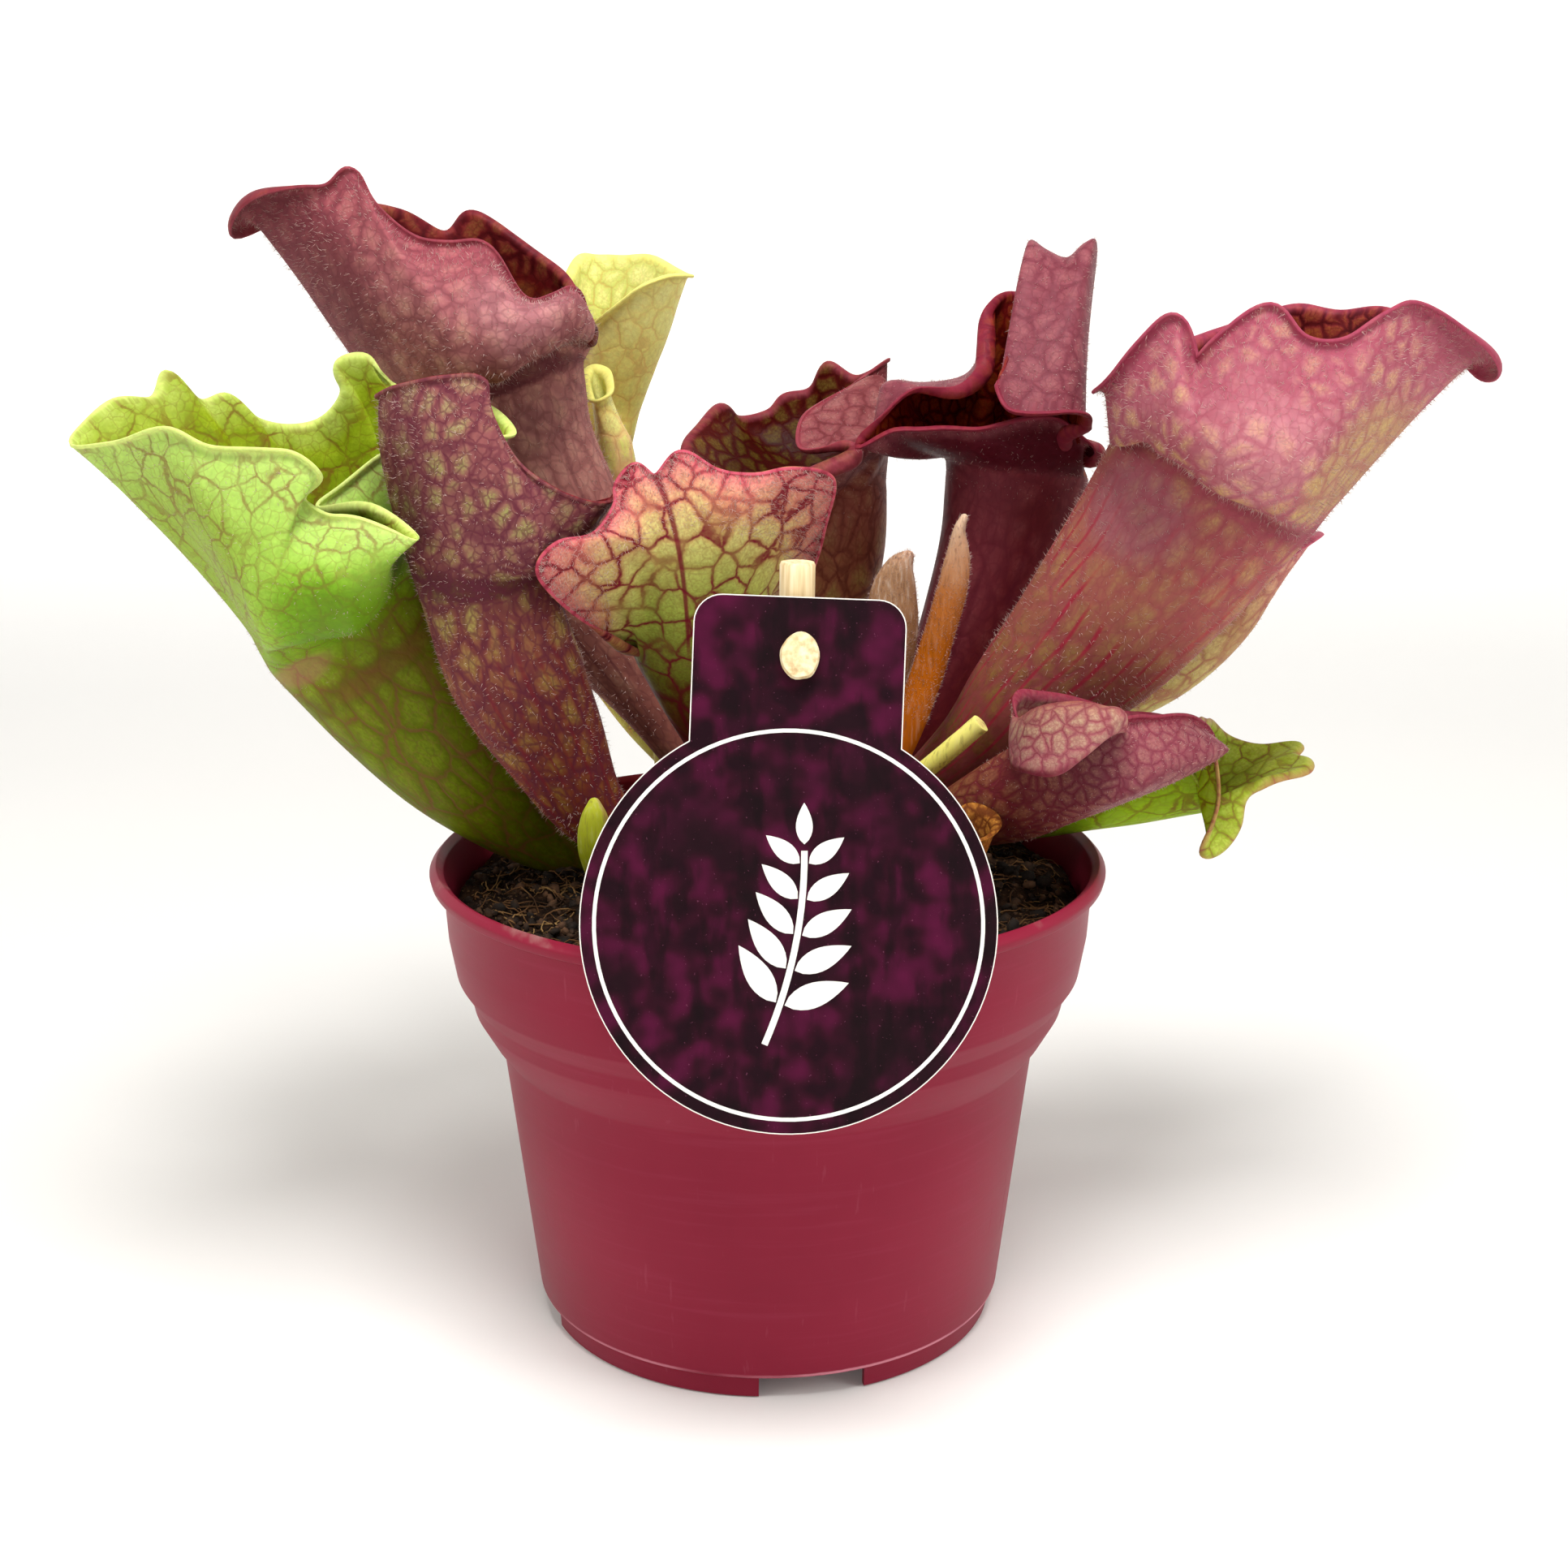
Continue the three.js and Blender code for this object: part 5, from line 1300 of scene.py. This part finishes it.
def potCutter():
    bm = bmesh.new()
    size = Vector(pot["notch"]) * mm
    middle = Vector((pot["notchPlace"], 0, pot["notch"][2] / 2 - pot["notchSunk"])) * mm
    for k in range(pot["feet"]):
        turn = math.radians(pot["notchTurn"] + 360 * k / pot["feet"])
        made = bmesh.ops.create_cube(bm, size=1)["verts"]
        bmesh.ops.scale(bm, verts=made, vec=size)
        bmesh.ops.translate(bm, verts=made, vec=middle)
        bmesh.ops.rotate(bm, verts=made, cent=(0, 0, 0), matrix=Matrix.Rotation(turn, 3, "Z"))
    middles = [(0, 0)]
    for k in range(pot["drains"]):
        turn = math.radians(pot["drainTurn"] + 360 * k / pot["drains"])
        middles.append((pot["drainRing"] * math.cos(turn), pot["drainRing"] * math.sin(turn)))
    radius = pot["drain"] * mm
    for x, y in middles:
        made = bmesh.ops.create_cone(bm, cap_ends=True, segments=pot["drainSteps"], radius1=radius,
                                     radius2=radius, depth=pot["drainDepth"] * mm)["verts"]
        bmesh.ops.translate(bm, verts=made, vec=Vector((x, y, pot["drainHeight"])) * mm)
    bmesh.ops.recalc_face_normals(bm, faces=bm.faces)
    return keep(bm, "pot_cutter", [], False)


def buildPot():
    bm = turnedShape(pot["profile"], pot["segments"])
    roundEdges(bm, pot["roundFrom"], pot["round"])
    bmesh.ops.recalc_face_normals(bm, faces=bm.faces)
    piece = keep(bm, "pot_moulded", [potPaint()])
    cutter = potCutter()
    cut = piece.modifiers.new("cut", "BOOLEAN")
    cut.operation = "DIFFERENCE"
    cut.solver = "EXACT"
    cut.object = cutter
    settle(piece)
    bpy.data.objects.remove(cutter)
    piece.data.set_sharp_from_angle(angle=math.radians(pot["sharp"]))
    place(piece, "pot_plastic", "pot")
    print("pot,", len(piece.data.polygons), "faces")


buildPot()


# the peat: a plug with a rough top, crumbs and fibres

peat = {
    "side": [(0, 5.8), (20, 5.8), (41, 5.8), (45.7, 43.5), (46.7, 52), (50.6, 58.2), (52, 62.4),
             (54.4, 66.6), (55.7, 78.0)],
    "top": 79.6,
    "edge": 55.2,
    "rings": 62,
    "columns": 260,
    "rough": 1.5,
    "lumps": [(0.16, 0.9), (0.4, 0.65)],         # scale and height
    "ridges": (1.1, 0.6),
    "crumbs": 3100,
    "crumbSize": (0.5, 2.0),
    "crumbRough": 0.35,
    "fibres": 1100,
    "fibreLength": (2, 12),
    "fibreThick": (0.06, 0.19),
    "fibrePoints": 6,
    "fibreBend": 1.2,
    "fibreLift": 0.35,
    "fibreRise": 0.6,
    "fibresRising": 0.4,
    "fibreArch": 0.3,
    "seed": 5,
}


def peatHeight(x, y):
    # the height of the peat at a place, all in mm
    low = 0.7 * math.sin(x * 0.16 + 1) * math.cos(y * 0.14) + 0.4 * math.sin(x * 0.31 - y * 0.27)
    spot = Vector((x, y, 0))
    scale, height = peat["ridges"]
    rough = sum(noise.noise(spot * wide) * tall for wide, tall in peat["lumps"])
    rough += abs(noise.noise(spot * scale)) * height
    inside = min(1, max(0, (peat["edge"] + 1 - math.hypot(x, y)) / 4))
    return peat["top"] + low + rough * peat["rough"] * (0.4 + 0.6 * inside) - (1 - inside) * 0.8


def peatPaint():
    paint = Paint("peat_moss")
    spot = paint.objectPlace()
    coarse = paint.noise(spot, 300.0, 5.0)
    fine = paint.noise(spot, 1400.0, 4.0)
    colour = paint.ramp(coarse, stopsOf([(0.3, "080403"), (0.48, "1a0f09"), (0.62, "301f14"),
                                         (0.78, "60442e")]))
    fleck = paint.step(fine, 0.6, 0.72)
    colour = paint.blend(fleck * 0.5, colour, tint("94744c"))
    return paint.finish(colour, 0.85 + fine * 0.15, coarse * 0.7 + fine * 0.5, 0.0012, 0.9,
                        Specular_IOR_Level=0.08)


def crumbPaint(name, dark, middle, pale, scale):
    paint = Paint(name)
    spot = paint.objectPlace()
    choice = paint.noise(spot, scale, 1.0)
    fine = paint.noise(spot, 2200.0, 4.0)
    colour = paint.ramp(choice, stopsOf([(0.3, dark), (0.5, middle), (0.7, pale)]))
    colour = paint.blend(fine * 0.5, colour, tint(dark))
    return paint.finish(colour, 0.8, fine, 0.0003, 0.6, Specular_IOR_Level=0.25)


def randomTurn(draw):
    # the matrix of a turn about any axis, all as likely
    q = draw.normal(0, 1, 4)
    w, x, y, z = q / np.linalg.norm(q)
    return np.array([
        [1 - 2 * (y * y + z * z), 2 * (x * y - z * w), 2 * (x * z + y * w)],
        [2 * (x * y + z * w), 1 - 2 * (x * x + z * z), 2 * (y * z - x * w)],
        [2 * (x * z - y * w), 2 * (y * z + x * w), 1 - 2 * (x * x + y * y)],
    ])


def peatSpot(draw, edge):
    # a random place within the edge
    radius = edge * math.sqrt(draw.random())
    turn = draw.random() * math.tau
    return radius * math.cos(turn), radius * math.sin(turn)


def addCrumbs():
    bm = bmesh.new()
    bmesh.ops.create_icosphere(bm, subdivisions=1, radius=1)
    for v in bm.verts:
        v.co *= 1 + peat["crumbRough"] * noise.noise(v.co * 1.7)
    points, faces = shapeOf(bm)
    draw = np.random.default_rng(peat["seed"])
    transforms = []
    low, high = peat["crumbSize"]
    for k in range(peat["crumbs"]):
        x, y = peatSpot(draw, peat["edge"] - 1.6)
        size = low + (high - low) * draw.random() ** 4
        stretch = np.diag([1, draw.uniform(0.5, 0.9), draw.uniform(0.3, 0.7)]) * size
        matrix = randomTurn(draw) @ stretch
        lift = peatHeight(x, y) + size * 0.05
        transforms.append(np.column_stack([matrix, (x, y, lift)]))
    transforms = np.array(transforms)
    spots = np.einsum("nij,pj->npi", transforms[:, :, :3], points) + transforms[:, None, :, 3]
    paint = crumbPaint("peat_crumbs", "0c0704", "24170c", "64442c", 240.0)
    piece = copies("soil_crumbs", spots * mm, faces, paint)
    piece.data.shade_smooth()
    place(piece, "peat")


def fibrePath(draw):
    # points of one bent strand, with the way it runs at each
    x, y = peatSpot(draw, peat["edge"] - 3)
    low, high = peat["fibreLength"]
    length = low + (high - low) * draw.random() ** 2
    heading = draw.random() * math.tau
    bend = draw.normal(0, peat["fibreBend"])
    rise = draw.uniform(0.0, peat["fibreRise"]) * (draw.random() < peat["fibresRising"])
    gaps = peat["fibrePoints"] - 1
    path = []
    for s in np.linspace(0, 1, gaps + 1):
        way = heading + bend * s
        x += math.cos(way) * length / gaps
        y += math.sin(way) * length / gaps
        if math.hypot(x, y) > peat["edge"] - 1:
            break
        arch = rise * length * peat["fibreArch"] * math.sin(s * math.pi)
        z = peatHeight(x, y) + peat["fibreLift"] + arch
        path.append((Vector((x, y, z)), Vector((-math.sin(way), math.cos(way), 0))))
    return path


def addFibres():
    draw = np.random.default_rng(peat["seed"] + 1)
    bm = bmesh.new()
    for k in range(peat["fibres"]):
        path = fibrePath(draw)
        thick = draw.uniform(*peat["fibreThick"])
        if len(path) < 3:
            continue
        up = Vector((0, 0, thick))
        rings = []
        for centre, side in path:
            across = side * thick
            corners = (centre + across, centre - across * 0.5 + up, centre - across * 0.5 - up)
            rings.append([bm.verts.new(corner * mm) for corner in corners])
        for ring, following in zip(rings, rings[1:]):
            for i in range(3):
                j = (i + 1) % 3
                bm.faces.new((ring[i], ring[j], following[j], following[i]))
        bm.faces.new(rings[0])
        bm.faces.new(rings[-1][::-1])
    bmesh.ops.recalc_face_normals(bm, faces=bm.faces)
    paint = crumbPaint("peat_fibres", "38220f", "6c4826", "a88450", 160.0)
    piece = keep(bm, "soil_fibres", [paint])
    place(piece, "peat")


def buildPeat():
    columns = peat["columns"]
    turns = np.arange(columns) * math.tau / columns
    rows = [[Vector((r * math.cos(a), r * math.sin(a), z)) * mm for a in turns]
            for r, z in peat["side"]]
    for k in range(peat["rings"] + 1):
        r = peat["edge"] * (1 - k / peat["rings"])
        spots = [(r * math.cos(a), r * math.sin(a)) for a in turns]
        rows.append([Vector((x, y, peatHeight(x, y))) * mm for x, y in spots])
    bm = wrapped(rows)
    closeUp(bm)
    piece = keep(bm, "soil_plug", [peatPaint()])
    place(piece, "peat", "soil")
    addCrumbs()
    addFibres()
    print("peat,", len(piece.data.polygons), "faces")


buildPeat()


# the rootstock keeps its form and gets bark

root = {
    "cuts": 2,
    "rough": 0.35,
    "scale": 420,
}


def rootPaint():
    paint = Paint("root_bark")
    spot = paint.objectPlace()
    scale = paint.noise(paint.scaled(spot, (1, 1, 0.4)), 500.0, 4.0)
    colour = paint.ramp(scale, stopsOf([(0.3, "20140e"), (0.5, "4a3022"), (0.72, "7c5c40")]))
    return paint.finish(colour, 0.8, scale, 0.0008, 0.8, Specular_IOR_Level=0.25)


def buildRoot():
    bm = bmesh.new()
    bm.from_mesh(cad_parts["rhizome"].data)
    bmesh.ops.remove_doubles(bm, verts=bm.verts, dist=1e-6)
    bmesh.ops.subdivide_edges(bm, edges=bm.edges, cuts=root["cuts"], use_grid_fill=True)
    bm.normal_update()
    for v in bm.verts:
        v.co += v.normal * mm * root["rough"] * noise.noise(v.co * root["scale"])
    bmesh.ops.translate(bm, verts=bm.verts, vec=-potAxis)
    piece = keep(bm, "rootstock", [rootPaint()])
    place(piece, "rhizome_bark", "rhizome")
    print("rootstock,", len(piece.data.polygons), "faces")


buildRoot()


# the label: a round card on a wooden stick, with a peg through its neck

label = {
    "place": (3.6, -59.3, 92.1),
    "lean": 15.36,
    "turn": -2.2,
    "radius": 32.2,
    "neck": 16.4,
    "top": 50.5,
    "corner": 4.4,
    "thick": 0.6,
    "hole": (0.2, 41.3, 1.7),
    "discSteps": 96,
    "cornerSteps": 8,
    "holeSteps": 28,
    "paperEdge": 0.18,       # how far the ink stays in from the edge
    "inkHole": 0.12,         # how far it stays back from the hole
    "inkDepth": 0.02,
    "inkLap": 0.01,
    "border": (29.6, 30.2),
    "peg": (3.1, 3.6),
    "pegStem": 3.2,
    "stickFoot": (4, -44, 60),
    "stickTop": (5, -41.6, 145.5),
    "stickRadius": 2.8,
    "woodSteps": 32,
    "woodSharp": 40,
}
labelFrame = (Matrix.Translation(Vector(label["place"]))
              @ Matrix.Rotation(math.radians(90 - label["lean"]), 4, "X")
              @ Matrix.Rotation(math.radians(label["turn"]), 4, "Z"))


def onLabel(bm):
    # takes a shape in mm from the label's own place to where it leans
    bmesh.ops.transform(bm, matrix=labelFrame, verts=bm.verts)
    bmesh.ops.scale(bm, verts=bm.verts, vec=(mm, mm, mm))


def inkPaint():
    paint = Paint("label_ink")
    spot = paint.objectPlace()
    cloud = paint.noise(spot, 60.0, 3.0)
    blob = paint.noise(spot, 210.0, 1.0)
    speck = paint.noise(spot, 2400.0, 2.0)
    streak = paint.noise(paint.scaled(spot, (1.0, 1.0, 0.18)), 260.0, 4.0)
    colour = paint.ramp(blob, stopsOf([(0.36, "1c0610"), (0.48, "2c0818"), (0.6, "400a26"),
                                       (0.75, "4c0c2e")]))
    colour = paint.blend(paint.step(cloud, 0.5, 0.66) * 0.8, colour, tint("1c0810"))
    colour = paint.blend(paint.step(streak, 0.5, 0.66) * 0.7, colour, tint("100609"))
    colour = paint.blend(paint.step(speck, 0.7, 0.76) * 0.35, colour, tint("8c4c68"))
    return paint.finish(colour, 0.4 + cloud * 0.12, speck, 0.00003, 0.2, Specular_IOR_Level=0.1)


def paperPaint(name, code):
    paint = Paint(name)
    pulp = paint.noise(paint.objectPlace(), 1800.0, 4.0)
    colour = paint.blend(pulp, tint(code), tint("f4f0e8"))
    return paint.finish(colour, 0.55 + pulp * 0.15, pulp, 0.00004, 0.3)


def arc(x, y, radius, start, end, steps):
    return [(x + radius * math.cos(start + (end - start) * k / steps),
             y + radius * math.sin(start + (end - start) * k / steps)) for k in range(steps + 1)]


def circle(x, y, radius, steps):
    return arc(x, y, radius, 0, math.tau, steps)[:-1]


def labelOutline(inset):
    # a disc with a neck that has rounded corners
    steps = label["cornerSteps"]
    radius = label["radius"] - inset
    neck = label["neck"] - inset
    corner = label["corner"] - inset
    shoulder = math.asin(neck / radius)
    x = label["neck"] - label["corner"]
    y = label["top"] - label["corner"]
    return (arc(0, 0, radius, math.pi / 2 + shoulder, math.pi * 2.5 - shoulder, label["discSteps"])
            + arc(x, y, corner, 0, math.pi / 2, steps)
            + arc(-x, y, corner, math.pi / 2, math.pi, steps))


def plate(bm, outline, holes, height, thick):
    # a flat plate with holes: its lower face lies at the height
    edges = []
    for loop in [outline] + holes:
        corners = [bm.verts.new((x, y, height)) for x, y in loop]
        edges += [bm.edges.new((a, b)) for a, b in zip(corners, corners[1:] + corners[:1])]
    made = bmesh.ops.triangle_fill(bm, edges=edges, use_beauty=True)["geom"]
    flat = [f for f in made if isinstance(f, bmesh.types.BMFace)]
    raised = bmesh.ops.extrude_face_region(bm, geom=flat, use_keep_orig=True)["geom"]
    bmesh.ops.translate(bm, verts=[v for v in raised if isinstance(v, bmesh.types.BMVert)],
                        vec=(0, 0, thick))


def buildCard():
    x, y, r = label["hole"]
    depth = label["inkDepth"] + label["inkLap"]
    bm = bmesh.new()
    hole = circle(x, y, r, label["holeSteps"])
    plate(bm, labelOutline(0), [hole], -label["thick"], label["thick"] - label["inkDepth"])
    bmesh.ops.recalc_face_normals(bm, faces=bm.faces)
    ink = bmesh.new()
    hole = circle(x, y, r + label["inkHole"], label["holeSteps"])
    plate(ink, labelOutline(label["paperEdge"]), [hole], -depth, depth)
    bmesh.ops.recalc_face_normals(ink, faces=ink.faces)
    onLabel(bm)
    onLabel(ink)
    card = keep(bm, "label_paper", [paperPaint("label_stock", "dcd6cc")], False)
    place(card, "label_print", "label_card")
    face = keep(ink, "label_face", [inkPaint()], False)
    place(face, "label_print")
    print("label card")


buildCard()


# a plain leaf sprig and a border in white ink

sprig = {
    "foot": (-3.0, -18.5),
    "tip": (2.0, 11.5),
    "bow": 1.6,              # how far the stem curves to the side
    "stem": 0.5,
    "pairs": 5,
    "pairsAlong": (0.2, 0.92),
    "leaf": (11.5, 2.1),     # length and half width of the lowest leaves
    "leafStart": 0.9,
    "leafSteps": 10,
    "tipLeaf": (6.4, 1.3),
    "shrink": 0.45,
    "shrinkAcross": 0.36,
    "spread": 52,
    "stemSteps": 14,
    "ink": 0.05,
}


def leafOutline(x, y, heading, length, width):
    points = []
    steps = sprig["leafSteps"]
    for side in (1, -1):
        for k in range(steps):
            t = k / steps if side > 0 else 1 - k / steps
            across = side * width * math.sin(math.pi * t ** 0.8) ** 0.9 if 0 < t < 1 else 0
            points.append((x + math.cos(heading) * t * length - math.sin(heading) * across,
                           y + math.sin(heading) * t * length + math.cos(heading) * across))
    return points


def sprigPoint(t):
    # a place on the sprig's stem, and its heading there
    foot, tip = Vector(sprig["foot"]), Vector(sprig["tip"])
    bow = Vector((tip.y - foot.y, foot.x - tip.x)).normalized() * sprig["bow"]
    spot = foot.lerp(tip, t) + bow * 4 * t * (1 - t)
    way = (tip - foot) + bow * 4 * (1 - 2 * t)
    return spot.x, spot.y, math.atan2(way.y, way.x)


def buildArt():
    bm = bmesh.new()
    half = sprig["stem"]
    steps = [sprigPoint(k / sprig["stemSteps"]) for k in range(sprig["stemSteps"] + 1)]
    left = [(x - math.sin(a) * half, y + math.cos(a) * half) for x, y, a in steps]
    right = [(x + math.sin(a) * half, y - math.cos(a) * half) for x, y, a in steps]
    plate(bm, left + right[::-1], [], 0, sprig["ink"])
    first, last = sprig["pairsAlong"]
    for k in range(sprig["pairs"]):
        t = first + (last - first) * k / (sprig["pairs"] - 1)
        x, y, heading = sprigPoint(t)
        length = sprig["leaf"][0] * (1 - sprig["shrink"] * t)
        width = sprig["leaf"][1] * (1 - sprig["shrinkAcross"] * t)
        for side in (1, -1):
            turn = heading + side * math.radians(sprig["spread"])
            startX = x + math.cos(turn) * sprig["leafStart"]
            startY = y + math.sin(turn) * sprig["leafStart"]
            plate(bm, leafOutline(startX, startY, turn, length, width), [], 0, sprig["ink"])
    x, y, heading = sprigPoint(1)
    tipLeaf = leafOutline(x + math.cos(heading), y + math.sin(heading), heading, *sprig["tipLeaf"])
    plate(bm, tipLeaf, [], 0, sprig["ink"])
    inner, outer = [circle(0, 0, radius, label["discSteps"]) for radius in label["border"]]
    plate(bm, outer, [inner], 0, sprig["ink"])
    bmesh.ops.recalc_face_normals(bm, faces=bm.faces)
    onLabel(bm)
    art = keep(bm, "label_art", [paperPaint("label_white", "d8d4d0")], False)
    place(art, "label_print")


buildArt()


def woodPaint(name, rings):
    paint = Paint(name)
    spot = paint.objectPlace()
    if rings:
        grain = paint.noise(spot, 900.0, 4.0)
    else:
        grain = paint.noise(paint.scaled(spot, (1.0, 1.0, 0.05)), 1100.0, 5.0)
    cloud = paint.noise(paint.scaled(spot, (1.0, 1.0, 0.4)), 160.0, 3.0)
    colour = paint.ramp(grain, stopsOf([(0.3, "c8a878"), (0.48, "e8d0a0"), (0.62, "f4e2bc"),
                                        (0.8, "fcf2d8")]))
    colour = paint.blend(paint.step(cloud, 0.5, 0.75) * 0.35, colour, tint("dcb87c"))
    pore = paint.step(grain, 0.7, 0.78)
    colour = paint.blend(pore * 0.3, colour, tint("8c6c44"))
    return paint.finish(colour, 0.6 + grain * 0.2, grain, 0.0002, 0.5)


def buildPeg():
    wide, tall = label["peg"]
    x, y = label["hole"][:2]
    profile = [(0, -6.6), (0.4, -6.6), (0.4, 0.35), (0.96, 0.35), (1.0, 0.8), (1.0, 1.7), (0.9, 2.25),
               (0.5, 2.4), (0, 2.42)]
    rows = []
    for reach, z in profile:
        row = []
        for k in range(label["woodSteps"]):
            a = k * math.tau / label["woodSteps"]
            rough = 1 + 0.07 * noise.noise(Vector((math.cos(a), math.sin(a), 0)) * 1.6)
            across, along = (wide, tall) if reach > 0.45 else (label["pegStem"], label["pegStem"])
            row.append(Vector((x + math.cos(a) * across * reach * rough,
                               y + math.sin(a) * along * reach * rough, z)))
        rows.append(row)
    bm = wrapped(rows)
    closeUp(bm)
    onLabel(bm)
    piece = keep(bm, "label_peg_wood", [woodPaint("peg_wood", True)])
    piece.data.set_sharp_from_angle(angle=math.radians(label["woodSharp"]))
    place(piece, "pale_wood", "label_peg")


def buildStick():
    foot, top = Vector(label["stickFoot"]), Vector(label["stickTop"])
    along = (top - foot).normalized()
    side = along.cross(Vector((0, 1, 0))).normalized()
    front = side.cross(along)
    rows = []
    stations = [(0, 0), (0, 0.9), (0.01, 1)] + [(k / 40, 1) for k in range(1, 40)]
    stations += [(0.994, 1), (0.999, 0.93), (1, 0.8), (1, 0.4), (1, 0)]
    for t, reach in stations:
        row = []
        for k in range(label["woodSteps"]):
            a = k * math.tau / label["woodSteps"]
            flat = 1 + 0.03 * noise.noise(Vector((math.cos(a) * 2, math.sin(a) * 2, t * 4)))
            r = label["stickRadius"] * reach * flat
            row.append(foot.lerp(top, t) + side * math.cos(a) * r + front * math.sin(a) * r)
        rows.append([p * mm for p in row])
    bm = wrapped(rows)
    closeUp(bm)
    piece = keep(bm, "label_stick_wood", [woodPaint("stick_wood", False)])
    piece.data.set_sharp_from_angle(angle=math.radians(label["woodSharp"]))
    place(piece, "pale_wood", "label_stick")
    print("peg and stick")


buildPeg()
buildStick()


# the stage

def floorPaint():
    paint = Paint("floor_pale")
    spot = paint.objectPlace()
    soft = paint.noise(spot, 3.0, 2.0)
    # the far part of the floor glows white: a painted light that whitens the backdrop and lights the
    # plant a little from behind
    back = paint.step(paint.split(spot)[1], 0.3, 1.1)
    glow = paint.blend(back, (0.1, 0.1, 0.1, 1), (1, 1, 1, 1))
    paint.join(glow, paint.shader.inputs["Emission Color"])
    return paint.finish(paint.blend(soft, tint("e8e6e2"), tint("eeece8")), 0.75 + soft * 0.1,
                        Specular_IOR_Level=0.1, Emission_Strength=0.5)


def buildStage():
    # a pale floor that curves up all round, its far part glowing white
    bm = turnedShape(view["floor"], view["floorSteps"], False)
    bmesh.ops.translate(bm, verts=bm.verts, vec=(0, 0, -view["floorDrop"]))
    floor = keep(bm, "floor", [floorPaint()])
    addSky()
    for lamp in view["lamps"]:
        addLight(*lamp)
    addCamera()
    print("stage")


buildStage()
